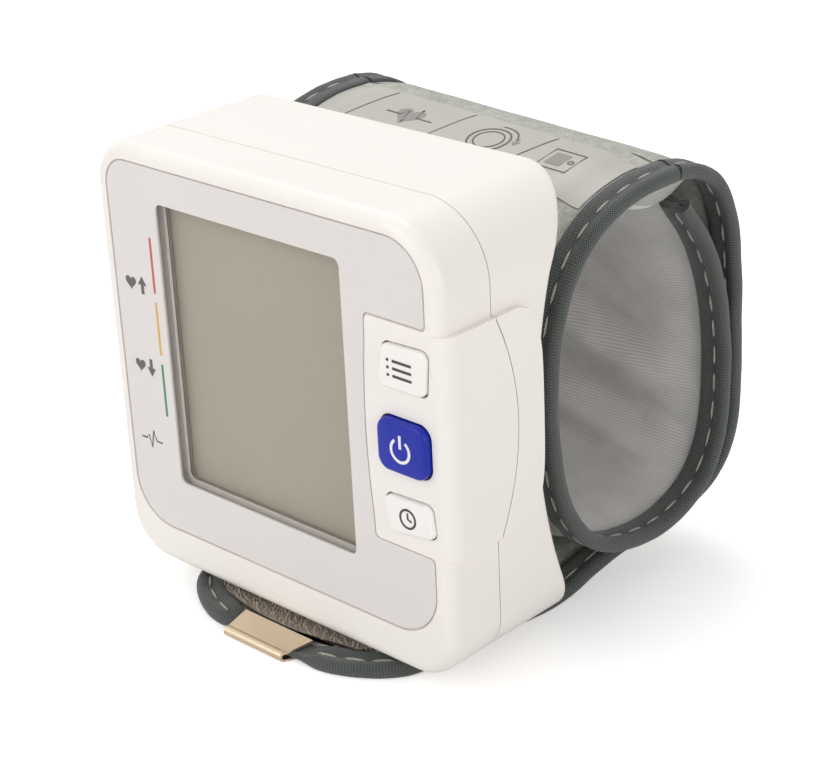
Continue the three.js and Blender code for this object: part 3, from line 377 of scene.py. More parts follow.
# Each row gives the low and the high colour, the roughness, the bump and the contrast.
tape_look = (50, 54, 54), (122, 127, 122), 0.75, 0.35, (0.35, 0.95)
lining_look = (176, 174, 171), (222, 220, 217), 0.85, 0.2, (0.0, 0.9)
thread_look = (150, 150, 138), (200, 198, 186), 0.7, 0.3, (0.3, 0.7)
cover_look = (168, 171, 160), (222, 224, 212), 0.95, 0.9, (0.12, 0.42)
# The end pad's fleece is pale, and its colour is raised near white as painted light for the shaded
# gap.
pale_painted_light_look = (222, 223, 214), (250, 250, 244), 0.95, 0.9, (0.12, 0.42)
hook_look = (120, 108, 96), (216, 200, 180), 0.9, 1.0, (0.14, 0.42)
fibre_look = (148, 135, 121), (228, 214, 196), 0.6, 0.2, (0.14, 0.4)
tape_cloth = cloth("binding tape", *tape_look, weave_group, Ribs=210.0, Yarns=230.0, Cross=0.75)
lining_cloth = cloth("lining cloth", *lining_look, weave_group, Ribs=185.0, Yarns=240.0, Cross=0.5)
thread = cloth("thread", *thread_look, weave_group, Ribs=400.0, Yarns=400.0, Cross=0.2)
cover_fleece = cloth("cover fleece", *cover_look, fleece_group, Scale=1.0)
pale_fleece_painted_light = cloth("pale fleece painted light", *pale_painted_light_look, fleece_group, Scale=1.0)
hook_cloth = cloth("hook cloth", *hook_look, fleece_group, Scale=2.2)
hook_fibre = cloth("hook fibre", *fibre_look, fleece_group, Scale=1.0)
print("materials:", len(bpy.data.materials))

# %% Finish the parts that stay as they are
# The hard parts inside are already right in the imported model, so they only take a finish.
INSIDE = (
    (display_grey, "lcd_glass"),
    (frame_grey, "lcd_frame"),
    (strip_rubber, "conductive_strip"),
    (board_green, "circuit_board"),
    (black_plastic, "mem_switch start_stop_switch set_switch battery_tray"),
    (black_plastic, "pump_head pressure_sensor"),
    (steel, "shell_screw_bottom_left shell_screw_bottom_right shell_screw_top_left"),
    (steel, "shell_screw_top_right plate_screw_left plate_screw_right pump_motor release_valve"),
    (steel, "battery_link_plate battery_plus_tab battery_minus_tab battery_spring_left"),
    (steel, "battery_spring_right"),
    (cell_jacket, "battery_left battery_right"),
    (natural_plastic, "air_manifold cuff_nipple"),
    (hose_rubber, "pump_hose valve_hose"),
    (plate_grey, "cuff_plate"),
)
for finish, names in INSIDE:
    for name in names.split():
        for place in frame["nodes"][name].material_slots:
            place.material = finish
print("parts kept from the model:", sum(len(names.split()) for _, names in INSIDE))


# %% [markdown]
# ## Helpers for shapes
# Most hard pieces are prisms: an outline is drawn from a few corners, each corner is rounded with a
# vertex bevel, and the face is extruded. A tool that only cuts is made the same way and removed
# after its boolean.

# %% Prisms, bars and booleans
PLANES = {
    "x": lambda u, v, w: (w, u, v),
    "y": lambda u, v, w: (u, w, v),
    "z": lambda u, v, w: (u, v, w),
}


def new_verts(grown):
    """The fresh vertices among what an extrusion returns."""
    return [item for item in grown["geom"] if isinstance(item, bmesh.types.BMVert)]


def round_off(bm, geom, offset, segments, affect):
    """A round bevel on some corners or edges."""
    bmesh.ops.bevel(
        bm,
        geom=geom,
        offset=offset,
        offset_type="OFFSET",
        segments=segments,
        profile=0.5,
        affect=affect,
        clamp_overlap=False,
        material=-1,
    )


def prism(corners, axis, start, stop, steps=14):
    """A solid along an axis from an outline of corners (u, v) or (u, v, radius)."""
    lay = PLANES[axis]
    bm = bmesh.new()
    verts = [bm.verts.new(lay(corner[0], corner[1], start)) for corner in corners]
    bm.faces.new(verts)
    for i, corner in enumerate(corners):
        radius = corner[2] if len(corner) > 2 else 0
        if radius > 0:
            here = Vector(corner[:2])
            before = Vector(corners[i - 1][:2]) - here
            after = Vector(corners[(i + 1) % len(corners)][:2]) - here
            reach = radius / math.tan(before.angle(after) / 2)
            round_off(bm, [verts[i]], reach, steps, "VERTICES")
    grown = bmesh.ops.extrude_face_region(bm, geom=bm.faces[:])
    bmesh.ops.translate(bm, vec=lay(0, 0, stop - start), verts=new_verts(grown))
    bmesh.ops.recalc_face_normals(bm, faces=bm.faces[:])
    return bm


def bar(radius, x, z, y0, y1, segments=40):
    """A round bar along y."""
    bm = bmesh.new()
    turn = Matrix.Translation((x, (y0 + y1) / 2, z)) @ Matrix.Rotation(math.pi / 2, 4, "X")
    bmesh.ops.create_cone(
        bm,
        cap_ends=True,
        segments=segments,
        radius1=radius,
        radius2=radius,
        depth=y1 - y0,
        matrix=turn,
    )
    return bm


def block(x0, x1, y0, y1, z0, z1):
    """A box between two corners."""
    bm = bmesh.new()
    bmesh.ops.create_cube(
        bm,
        size=1,
        matrix=Matrix.Translation(((x0 + x1) / 2, (y0 + y1) / 2, (z0 + z1) / 2))
        @ Matrix.Diagonal((x1 - x0, y1 - y0, z1 - z0, 1)),
    )
    return bm


def to_object(bm, name):
    """An object from a bmesh, still in millimetres."""
    mesh = bpy.data.meshes.new(name)
    bm.to_mesh(mesh)
    bm.free()
    made = bpy.data.objects.new(name, mesh)
    bpy.context.scene.collection.objects.link(made)
    return made


def combine(target, tools, operation="DIFFERENCE"):
    """Runs one boolean after another on the target and removes the tools."""
    made = []
    for tool in tools:
        made.append(to_object(tool, "tool") if isinstance(tool, bmesh.types.BMesh) else tool)
        step = target.modifiers.new("cut", "BOOLEAN")
        step.operation = operation
        step.solver = "EXACT"
        step.object = made[-1]
    bpy.context.view_layer.update()
    result = target.evaluated_get(bpy.context.evaluated_depsgraph_get())
    mesh = bpy.data.meshes.new_from_object(result)
    target.modifiers.clear()
    target.data = mesh
    for tool in made:
        bpy.data.objects.remove(tool)
    return target


def copied(source, name):
    """A second object with its own copy of the mesh."""
    made = bpy.data.objects.new(name, source.data.copy())
    bpy.context.scene.collection.objects.link(made)
    return made


# %% Setting a piece down
def settle(piece, name, material, body, slot, stands_for=(), sharp=35.0):
    """Moves a piece from millimetres to its place, smooths it and ties it to its body."""
    if isinstance(piece, bmesh.types.BMesh):
        piece = to_object(piece, name)
    piece.name = name
    piece.data.name = name
    piece.data.transform(PLACE)
    piece.data.materials.clear()
    piece.data.materials.append(material)
    for face in piece.data.polygons:
        face.use_smooth = True
    piece.data.set_sharp_from_angle(angle=math.radians(sharp))
    if body:
        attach(piece, body)
    if stands_for:
        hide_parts(*stands_for)
    return piece


def soften(piece, width=0.15):
    """A small live bevel on crisp edges, with normals that keep the flat faces flat."""
    edge = piece.modifiers.new("soft edges", "BEVEL")
    edge.width = width * 0.001
    edge.segments = 2
    edge.limit_method = "ANGLE"
    edge.angle_limit = math.radians(40)
    edge.use_clamp_overlap = True
    weighted = piece.modifiers.new("flat faces", "WEIGHTED_NORMAL")
    weighted.keep_sharp = True
    weighted.weight = 60


# %% [markdown]
# ## The two shells
# The body is a rounded block whose rear is hollowed to a cradle for the wrist. One ring of edges
# carries the outline. It is extruded again and again, and each new ring is moved in along its own
# outward direction, so the front edge is truly round and the rear edge follows the cradle. Bridging
# the left chain of the last ring to the right one closes the curved rear with clean strips. The
# inside is the same form, smaller. A bowed cutter then parts front from rear, as on the real unit.

# %% Body form
LOW, HIGH, HALF = 4.0, 75.6, 36.0
CENTRE = (LOW + HIGH) / 2
CORNERS = [(-36, 4, 8), (36, 4, 8), (36, 75.6, 11), (-36, 75.6, 7.5)]


def rear_depth(z):
    """Where the rear face lies at a height: an arc, with a flare towards the top."""
    share = (z - CENTRE) / (HIGH - CENTRE)
    flare = max(0.0, share - 0.587) / 0.413
    return 20.9 + 8.32 * share**2 + 4.38 * flare**2


def outward(x, z):
    """The outline's outward direction at one of its points."""
    for corner_x, corner_z, radius in CORNERS:
        side, end = math.copysign(1, corner_x), (1 if corner_z > CENTRE else -1)
        dx = (x - (corner_x - side * radius)) * side
        dz = (z - (corner_z - end * radius)) * end
        if dx > 1e-4 and dz > 1e-4:
            return Vector((dx * side, 0, dz * end)).normalized()
    if abs(x) > HALF - 1e-3:
        return Vector((math.copysign(1, x), 0, 0))
    return Vector((0, 0, 1 if z > CENTRE else -1))


def body_form(inset, front, front_round, rear_inset, steps=8):
    """The body's outer form, or with an inset the hollow inside its walls."""
    bm = prism(CORNERS, "y", 0, 1, 16)
    extra = [item for item in bm.verts if item.co.y > 0.5]
    bmesh.ops.delete(bm, geom=extra, context="VERTS")
    bmesh.ops.delete(bm, geom=bm.faces[:], context="FACES_ONLY")
    upright_edges = [edge for edge in bm.edges if edge.calc_length() > 20]
    sides = [edge for edge in upright_edges if abs(edge.verts[0].co.x) > HALF - 0.1]
    bmesh.ops.subdivide_edges(bm, edges=sides, cuts=23)
    base = bm.verts.layers.float_vector.new("base")
    way = bm.verts.layers.float_vector.new("way")
    for vert in bm.verts:
        vert[base] = vert.co.copy()
        vert[way] = outward(vert.co.x, vert.co.z)

    def lay(verts, step, rear):
        angle = step / steps * math.pi / 2
        for vert in verts:
            share = math.asin(min(1, max(0, vert[way].z))) / (math.pi / 2)
            size = 1.5 + 2.0 * share if rear else front_round
            spot = vert[base] - vert[way] * (inset + size * (1 - math.cos(angle)))
            if rear:
                spot.y = rear_depth(spot.z) - rear_inset - size * (1 - math.sin(angle))
            else:
                spot.y = front + size * (1 - math.sin(angle))
            vert.co = spot

    def cap(edges):
        chains = [e for e in edges if e.verts[0].co.x * e.verts[1].co.x > 0]
        bmesh.ops.bridge_loops(bm, edges=chains)

    ring = bm.edges[:]
    lay(bm.verts, steps, False)
    cap(ring)
    stations = [(step, False) for step in range(steps - 1, -1, -1)]
    stations += [(step, True) for step in range(steps + 1)]
    for step, rear in stations:
        grown = bmesh.ops.extrude_edge_only(bm, edges=ring)
        fresh = set(new_verts(grown))
        ring = [
            item
            for item in grown["geom"]
            if isinstance(item, bmesh.types.BMEdge) and all(v in fresh for v in item.verts)
        ]
        lay(fresh, step, rear)
    cap(ring)
    bmesh.ops.recalc_face_normals(bm, faces=bm.faces[:])
    return bm


# %% Thumb grip and parting line
NOTCH_LOW, NOTCH_HIGH, NOTCH_LEFT = 24.8, 60.6, 21.2
NOTCH_MIDDLE = (NOTCH_LOW + NOTCH_HIGH) / 2


def bowed(half, deep, bulge):
    """Points up a bowed rim about the notch's middle; bulge gives its depth from -1 to 1."""
    shares = [i / 20 - 1 for i in range(41)]
    return [
        (0, NOTCH_MIDDLE - half),
        *((deep + bulge(share), NOTCH_MIDDLE + half * share) for share in shares),
        (0, NOTCH_MIDDLE + half),
    ]


def thumb_grip():
    """The raised pad on the right side, rounded into the front and bowed at the rear."""
    low, high = NOTCH_LOW + 0.6, NOTCH_HIGH - 0.6
    section = [(34.2, 0), (37, 0, 2.7), (37, 20.9), (34.2, 20.9)]
    pad = to_object(prism(section, "z", low, high), "pad")
    rim = bowed((high - low) / 2, 15.3, lambda share: 5 * math.sqrt(1 - share**4))
    return combine(pad, [prism(rim, "x", 32.4, 42)], "INTERSECT")


def front_side(shift):
    """All that lies before the parting line, which bows rearwards on the right side."""
    depth = 10.5 + shift
    half = (NOTCH_HIGH - NOTCH_LOW) / 2 - 1 + shift
    flat = to_object(block(-41, 41, -5, depth, -1, 81), "flat")
    rim = bowed(half, depth, lambda share: 4.1 * (1 - share**2))
    return combine(flat, [prism(rim, "x", 32.4, 41)], "UNION")


# %% Outlines on the front
def label_outline(margin):
    """The label film's outline, grown by a margin. Its notch bows around the buttons."""
    bow = [
        (
            NOTCH_LEFT + margin - 0.7 * (1 - (i / 5 - 1) ** 2),
            NOTCH_MIDDLE + (NOTCH_HIGH - NOTCH_LOW - 8) / 2 * (i / 5 - 1),
        )
        for i in range(11)
    ]
    return [
        (-33 - margin, 11.15 - margin, 7.5 + margin),
        (33 + margin, 11.15 - margin, 8 + margin),
        (33 + margin, NOTCH_LOW + margin, 0.8),
        (NOTCH_LEFT + margin + 0.1, NOTCH_LOW + margin, 0.9),
        *bow,
        (NOTCH_LEFT + margin + 0.1, NOTCH_HIGH - margin, 0.9),
        (33 + margin, NOTCH_HIGH - margin, 0.8),
        (33 + margin, 72.85 + margin, 6.8 + margin),
        (-33 - margin, 72.85 + margin, 4.5 + margin),
    ]


def window_outline(margin):
    """The display window's outline, grown by a margin."""
    radius = 1.2 + max(0, margin)
    return [
        (-22.05 - margin, 20.2 - margin, radius),
        (17.06 + margin, 20.2 - margin, radius),
        (17.06 + margin, 67.3 + margin, radius),
        (-22.05 - margin, 67.3 + margin, radius),
    ]


BUTTONS = {
    "mem_button": ([(0.33, 0.902), (1.059, 0.911), (1.008, 0.718), (0.254, 0.712)], 1.3, 0.8),
    "start_stop_button": ([(0.225, 0.587), (1.03, 0.587), (1.03, 0.357), (0.225, 0.357)], 2.1, 1.2),
    "set_button": ([(0.237, 0.235), (1.017, 0.246), (1.076, 0.103), (0.322, 0.07)], 1.3, 0.8),
}


def button_outline(name, margin):
    """A button's outline, grown by a margin and kept clear of the side wall."""
    shares, radius, _ = BUTTONS[name]
    spots = [(NOTCH_LEFT + 11.8 * u, NOTCH_LOW + 35.8 * v) for u, v in shares]
    middle_x = sum(x for x, _ in spots) / 4
    middle_z = sum(z for _, z in spots) / 4
    return [
        (
            min(x + math.copysign(margin, x - middle_x), 34.0),
            z + math.copysign(margin, z - middle_z),
            radius + max(0, margin) / 2,
        )
        for x, z in spots
    ]


# %% Cut the shells
WALL, FRONT_WALL, FRONT_ROUND, HOLLOW_ROUND = 1.8, 2.2, 2.2, 0.6
PARTING_GAP = 0.08
BOSS, PLATE_BOSS, PILOT, SCREW_HEAD, AIR_HOLE = 3.5, 2.8, 1.1, 2.6, 1.9
outer = combine(to_object(body_form(0, 0, FRONT_ROUND, 0), "outer"), [thumb_grip()], "UNION")
hollow = to_object(body_form(WALL, FRONT_WALL, HOLLOW_ROUND, WALL), "hollow")
screw_places = [(x, z) for x in (-29.5, 29.5) for z in (10.5, 69.1)]
rear_room = combine(
    copied(hollow, "rear_room"),
    [bar(BOSS, x, z, 0, 40) for x, z in screw_places]
    + [bar(PLATE_BOSS, x, CENTRE, 14.6, 30) for x in (-5.5, 27)],
)
front_shell = combine(copied(outer, "front_shell"), [hollow])
rear_shell = combine(outer, [rear_room, front_side(PARTING_GAP)])
front_shell = combine(front_shell, [front_side(-PARTING_GAP)], "INTERSECT")
door_room = (-41, -34, 8, 19, CENTRE - 24.2, CENTRE + 24.2)
front_shell = combine(
    front_shell,
    [
        prism(label_outline(0.3), "y", -5, 0.5),
        prism(window_outline(1.8), "y", 0, 1.7),
        prism(window_outline(0), "y", -5, 5),
        block(*door_room),
    ]
    + [prism(button_outline(name, 0.25), "y", -5, 2.4) for name in BUTTONS],
)
rear_shell = combine(
    rear_shell,
    [block(*door_room), bar(AIR_HOLE, 12.55, CENTRE, 10, 30)]
    + [bar(PILOT, x, z, 5, 40, 20) for x, z in screw_places]
    + [bar(SCREW_HEAD, x, z, 13.15, 40) for x, z in screw_places],
)
settle(front_shell, "front_shell_skin", shell_white, "monitor", "shell_white", ["front_shell"])
settle(rear_shell, "rear_shell_skin", shell_white, "monitor", "shell_white", ["rear_shell"])
soften(front_shell)
soften(rear_shell)
print("shell faces:", len(front_shell.data.polygons), len(rear_shell.data.polygons))


# %% [markdown]
# ## Battery door
# The door is on the left side, where a dent gives the thumb a hold to pull it off. A few grooves
# beside the dent give grip. It is a box with soft edges, and a ball cuts the dent.

# %% Battery door
DOOR_HALF, THUMB_RADIUS = 23.9, 6
door = to_object(block(-36, -34.2, 8.3, 18.7, CENTRE - DOOR_HALF, CENTRE + DOOR_HALF), "door")
thumb = bmesh.new()
dent = Matrix.Translation((-41.3, 13.5, CENTRE - 12))
bmesh.ops.create_uvsphere(thumb, u_segments=48, v_segments=24, radius=THUMB_RADIUS, matrix=dent)
grooves = [
    block(-37, -35.75, 10, 17, CENTRE + 8 + 2.4 * i, CENTRE + 9 + 2.4 * i) for i in range(5)
]
combine(door, [thumb] + grooves)
settle(door, "battery_door_cover", shell_white, "battery_door", "shell_white", ["battery_door"])
soften(door, 0.12)

# %% [markdown]
# ## Label, window and buttons
# The label is a thin printed film set into the front, with a groove round it. The buttons are
# pillowed: the front rim gets a wide bevel and the face is inset and raised in three steps.

# %% Label and window
label = combine(
    to_object(prism(label_outline(0), "y", 0.06, 0.48), "label"),
    [prism(window_outline(0), "y", -1, 2)],
)
settle(label, "label_sheet", label_grey, "monitor", "label_grey", ["label_film"])
soften(label, 0.06)
window = prism(window_outline(1.6), "y", 0.52, 1.4)
settle(window, "window_pane", window_clear, "monitor", "window_clear", ["lens_window"])


# %% Buttons
def pillow(name, rim, rise):
    """A button cap with a rounded rim and a slightly domed face."""
    _, _, proud = BUTTONS[name]
    bm = prism(button_outline(name, 0), "y", -proud, 3.2, 10)
    front = min(bm.faces, key=lambda face: face.calc_center_median().y)
    round_off(bm, front.edges[:], rim, 6, "EDGES")
    face = min(bm.faces, key=lambda item: item.calc_center_median().y)
    for size, high in ((0.88, 0.8), (0.8, 0.6), (0.65, 0.3)):
        middle = face.calc_center_median()
        grown = bmesh.ops.extrude_face_region(bm, geom=[face])["geom"]
        bmesh.ops.delete(bm, geom=[face], context="FACES_ONLY")
        face = [item for item in grown if isinstance(item, bmesh.types.BMFace)][0]
        bmesh.ops.scale(
            bm, vec=(size, 1, size), space=Matrix.Translation(-middle), verts=face.verts[:]
        )
        bmesh.ops.translate(bm, vec=(0, -rise * high, 0), verts=face.verts[:])
    bmesh.ops.recalc_face_normals(bm, faces=bm.faces[:])
    return bm


for name, material, slot in (
    ("mem_button", button_white, "button_white"),
    ("start_stop_button", button_blue, "button_blue"),
    ("set_button", button_white, "button_white"),
):
    cap = settle(pillow(name, 0.55, 0.05), name + "_cap", material, name, slot, [name], 50)
    print(cap.name, "faces", len(cap.data.polygons))

# %% [markdown]
# ## Printed marks
# The front carries plain signs: a heart with an arrow up for the higher pressure, one with an
# arrow down for the lower, a pulse line, three coloured bars, and one sign on each button. Every
# mark is a thin slab laid on its surface by a small function, so the same strokes serve the flat
# label, the buttons and the curved film.


# %% Strokes and filled marks
def mark(bm, points, width=None, thick=0.05):
    """Adds a line of a width, or a filled shape, to a flat bmesh in u and v with a thickness."""
    before = set(bm.verts)
    if width is None:
        bm.faces.new([bm.verts.new((u, v, 0)) for u, v in points])
    else:
        line = [Vector(point) for point in points]
        closed = (line[0] - line[-1]).length < 1e-6
        sides = []
        for i, point in enumerate(line):
            before_it = line[i - 1] if i else (line[-2] if closed else point)
            after_it = line[i + 1] if i + 1 < len(line) else (line[1] if closed else point)
            run = (after_it - before_it).normalized()
            sides.append((point, Vector((-run.y, run.x)) * width / 2))
        point, side = sides[0]
        pair = [bm.verts.new((*(point + side), 0)), bm.verts.new((*(point - side), 0))]
        edge = bm.edges.new(pair)
        for point, side in sides[1:]:
            fresh = new_verts(bmesh.ops.extrude_edge_only(bm, edges=[edge]))
            first = pair[0].co.copy()
            fresh.sort(key=lambda vert: (vert.co - first).length)
            fresh[0].co = (*(point + side), 0)
            fresh[1].co = (*(point - side), 0)
            pair = fresh
            edge = bm.edges.get(pair)
    faces = [face for face in bm.faces if not before & set(face.verts)]
    grown = bmesh.ops.extrude_face_region(bm, geom=faces)
    bmesh.ops.translate(bm, vec=(0, 0, thick), verts=new_verts(grown))


def heart(u, v, size):
    """The outline of a heart about a middle point."""
    spots = []
    for i in range(28):
        t = 2 * math.pi * i / 28
        high = 13 * math.cos(t) - 5 * math.cos(2 * t) - 2 * math.cos(3 * t) - math.cos(4 * t)
        spots.append((u + size * math.sin(t) ** 3 / 2, v + size * high / 32))
    return spots


def arc(u, v, radius, start, end, count=24):
    """Points along an arc, in degrees."""
    turns = [math.radians(start + (end - start) * i / count) for i in range(count + 1)]
    return [(u + radius * math.cos(t), v + radius * math.sin(t)) for t in turns]


def arrow(u, v, size, turn):
    """A filled arrow that points up, turned by degrees."""
    shape = [(-0.12, -0.5), (0.12, -0.5), (0.12, 0), (0.34, 0), (0, 0.5), (-0.34, 0), (-0.12, 0)]
    c, s = math.cos(math.radians(turn)), math.sin(math.radians(turn))
    return [(u + size * (a * c - b * s), v + size * (a * s + b * c)) for a, b in shape]


def lay_marks(bm, lay, name, material, body, slot):
    """Puts flat marks on a surface: lay gives the place in mm for u, v and height."""
    for vert in bm.verts:
        vert.co = lay(*vert.co)
    bmesh.ops.recalc_face_normals(bm, faces=bm.faces[:])
    return settle(bm, name, material, body, slot, sharp=30)


def on_front(depth):
    """Lays marks on a plane that faces the reader at a depth."""
    return lambda u, v, high: Vector((u, depth - high, v))


# %% Marks on the label
LABEL_FACE, BUTTON_FACE, BLUE_FACE = 0.07, -0.75, -1.15
signs = bmesh.new()
for x, z, size, arrow_x, turn in ((-29.6, 52.9, 2.5, -26.9, 0), (-29.3, 38.9, 2.4, -26.7, 180)):
    mark(signs, heart(x, z, size), thick=0.03)
    mark(signs, arrow(arrow_x, z, 3.0, turn), thick=0.03)
pulse = [(-30.8, 25.9), (-29.6, 25.9), (-29.1, 26.6), (-28.5, 24.5), (-27.8, 27.6), (-27.2, 25.9)]
mark(signs, [*pulse, (-25.9, 25.9)], 0.34, 0.03)
lay_marks(signs, on_front(LABEL_FACE), "label_signs", print_ink, "monitor", "label_grey")
for title, top, bottom, paint in (
    ("high", 61.4, 52.2, bar_red),
    ("middle", 50.7, 41.8, bar_yellow),
    ("low", 40.2, 31.2, bar_green),
):
    strip = bmesh.new()
    mark(strip, [(-24.25, bottom), (-23.75, bottom), (-23.75, top), (-24.25, top)], thick=0.03)
    lay_marks(strip, on_front(LABEL_FACE), title + "_bar", paint, "monitor", "label_grey")


# %% Signs on the buttons
def button_middle(name):
    """The middle of a button's face."""
    outline = button_outline(name, 0)
    return sum(spot[0] for spot in outline) / 4, sum(spot[1] for spot in outline) / 4


u, v = button_middle("mem_button")
pages = bmesh.new()
for i in (-1, 0, 1):
    mark(pages, [(u - 1.5, v + 1.15 * i), (u + 2.1, v + 1.15 * i)], 0.4, 0.2)
    mark(pages, arc(u - 2.4, v + 1.15 * i, 0.24, 0, 330, 11), thick=0.2)
lay_marks(pages, on_front(BUTTON_FACE), "mem_sign", icon_dark, "mem_button", "button_white")
u, v = button_middle("start_stop_button")
power = bmesh.new()
mark(power, arc(u, v - 0.2, 1.75, 125, 415, 32), 0.46, 0.2)
mark(power, [(u, v + 0.1), (u, v + 2.2)], 0.46, 0.2)
lay_marks(
    power, on_front(BLUE_FACE), "power_sign", icon_white, "start_stop_button", "button_blue"
)
u, v = button_middle("set_button")
clock = bmesh.new()
mark(clock, arc(u, v, 1.45, 0, 360, 32), 0.34, 0.2)
mark(clock, [(u, v + 0.95), (u, v), (u + 0.75, v - 0.3)], 0.32, 0.2)
lay_marks(clock, on_front(BUTTON_FACE), "set_sign", icon_dark, "set_button", "button_white")


# %% [markdown]
# ## The cuff's path
# Seen from the side, the band is one curve from its free inner end over the rear, the bottom, the
# front and the top to the seam, and the flap is a second curve from the seam round the rear to the
# tongue under the unit. The curves are centripetal Catmull-Rom splines through the model's own
# points. A cloth piece is first a flat grid. Then every point is wrapped: so far along the curve,
# so far across it, and so far out from it.

# %% Path points
LOOP_Y, LOOP_Z, LOOP_DEPTH, LOOP_HEIGHT = 47.45, 39.05, 21.55, 30.351
BAND_POINTS = [
    (0.466, 0.799), (0.76, 0.51), (0.945, 0.15), (1, -0.298), (0.925, -0.67), (0.7, -0.888),
    (0.188, -0.997), (-0.517, -0.875), (-0.88, -0.56), (-1.02, -0.1), (-1.01, 0.26),
    (-0.921, 0.526), (-0.717, 0.766), (-0.401, 0.921), (0, 0.99), (0.374, 0.997),
]  # fmt: skip
FLAP_POINTS = [
    (0.392, 0.997), (0.652, 0.95), (0.889, 0.835), (1.056, 0.598), (1.118, 0.295),
    (1.13, -0.002), (1.135, -0.331), (1.088, -0.644), (0.916, -0.891), (0.606, -1.033),
    (0.211, -1.102), (-0.23, -1.18),
]  # fmt: skip
BAND_HALF, TONGUE_MIDDLE = 35, 1.15
TONGUE = [(34, 1.425), *((y, TONGUE_MIDDLE) for y in (27, 20, 6.9, -6.2))]


# %% Spline tables
def spline(points, steps=60):
    """Distances, places and directions along a centripetal Catmull-Rom spline."""
    spots = [np.array(point, float) for point in points]
    spots = [2 * spots[0] - spots[1], *spots, 2 * spots[-1] - spots[-2]]
    rows = []
    for i in range(1, len(spots) - 2):
        p0, p1, p2, p3 = spots[i - 1 : i + 3]
        d0, d1, d2 = (np.linalg.norm(b - a) ** 0.5 for a, b in ((p0, p1), (p1, p2), (p2, p3)))
        t1 = ((p1 - p0) / d0 - (p2 - p0) / (d0 + d1) + (p2 - p1) / d1) * d1
        t2 = ((p2 - p1) / d1 - (p3 - p1) / (d1 + d2) + (p3 - p2) / d2) * d1
        for w in np.arange(steps) / steps:
            rows.append(
                p1
                + t1 * w
                + (-3 * p1 + 3 * p2 - 2 * t1 - t2) * w**2
                + (2 * p1 - 2 * p2 + t1 + t2) * w**3
            )
    rows = np.array([*rows, spots[-2]])
    steps_long = np.linalg.norm(np.diff(rows, axis=0), axis=1)
    along = np.concatenate([[0], np.cumsum(steps_long)])
    direction = np.gradient(rows, along, axis=0)
    direction /= np.linalg.norm(direction, axis=1)[:, None]
    return along, rows, direction


def on_loop(points):
    """Shares of the loop's half axes as y and z."""
    return [(LOOP_Y + y * LOOP_DEPTH, LOOP_Z + z * LOOP_HEIGHT) for y, z in points]


band_path = spline(on_loop(BAND_POINTS))
flap_path = spline(on_loop(FLAP_POINTS) + TONGUE)
BAND_LONG, FLAP_LONG = band_path[0][-1], flap_path[0][-1]


def wrap(path, along, x, out):
    """The place of a point of cloth: distance along, across, and out from the middle.

    The loop is a little taller at its left edge than at its right one."""
    distances, places, directions = path
    y = np.interp(along, distances, places[:, 0])
    z = max(np.interp(along, distances, places[:, 1]), TONGUE_MIDDLE)
    run_y = np.interp(along, distances, directions[:, 0])
    run_z = np.interp(along, distances, directions[:, 1])
    y, z = y - run_z * out, z + run_y * out
    height = max(0, z - (LOOP_Z - LOOP_HEIGHT)) / (2 * LOOP_HEIGHT)
    return Vector((x, y, max(0.02, z - 1.5 * height * x / BAND_HALF)))


print("band", round(BAND_LONG, 1), "mm long, flap", round(FLAP_LONG, 1), "mm long")


# %% Cloth sleeves
def sleeve(rows, columns, place):
    """A closed tube of cloth from a flat grid: place(a, b) gives the point and its flat map."""
    bm = bmesh.new()
    bmesh.ops.create_grid(bm, x_segments=rows, y_segments=columns, size=0.5)
    flat = bm.loops.layers.uv.new("flat")
    made = {}
    for vert in bm.verts:
        made[vert] = place(vert.co.x + 0.5, vert.co.y + 0.5)
    for face in bm.faces:
        for loop in face.loops:
            loop[flat].uv = [value / 100 for value in made[loop.vert][1]]
    for vert, (spot, _) in made.items():
        vert.co = spot
    bmesh.ops.remove_doubles(bm, verts=bm.verts[:], dist=1e-4)
    bmesh.ops.holes_fill(bm, edges=bm.edges[:], sides=0)
    bmesh.ops.recalc_face_normals(bm, faces=bm.faces[:])
    return bm


def two_faces(b):
    """Where a share round a sleeve lies: from -1 to 1 across it, and whether on its first face."""
    return (4 * b - 1, True) if b <= 0.5 else (3 - 4 * b, False)


def smooth_step(value, low, high):
    """0 below low, 1 above high, smooth between."""
    share = min(1.0, max(0.0, (value - low) / (high - low)))
    return share * share * (3 - 2 * share)


def ripple(along, x, size, seed=0.0):
    """A soft random height, the same each run."""
    return noise.noise(Vector((along / size, x / size, seed)))


def hill(value, middle, width):
    """1 at the middle, falling smoothly to 0 on both sides."""
    return math.exp(-(((value - middle) / width) ** 2))


def lay_map(bm):
    """A flat map read straight from the place, for threads and hooks."""
    flat = bm.loops.layers.uv.new("flat")
    for face in bm.faces:
        for loop in face.loops:
            loop[flat].uv = (loop.vert.co.y / 100, loop.vert.co.x / 100)


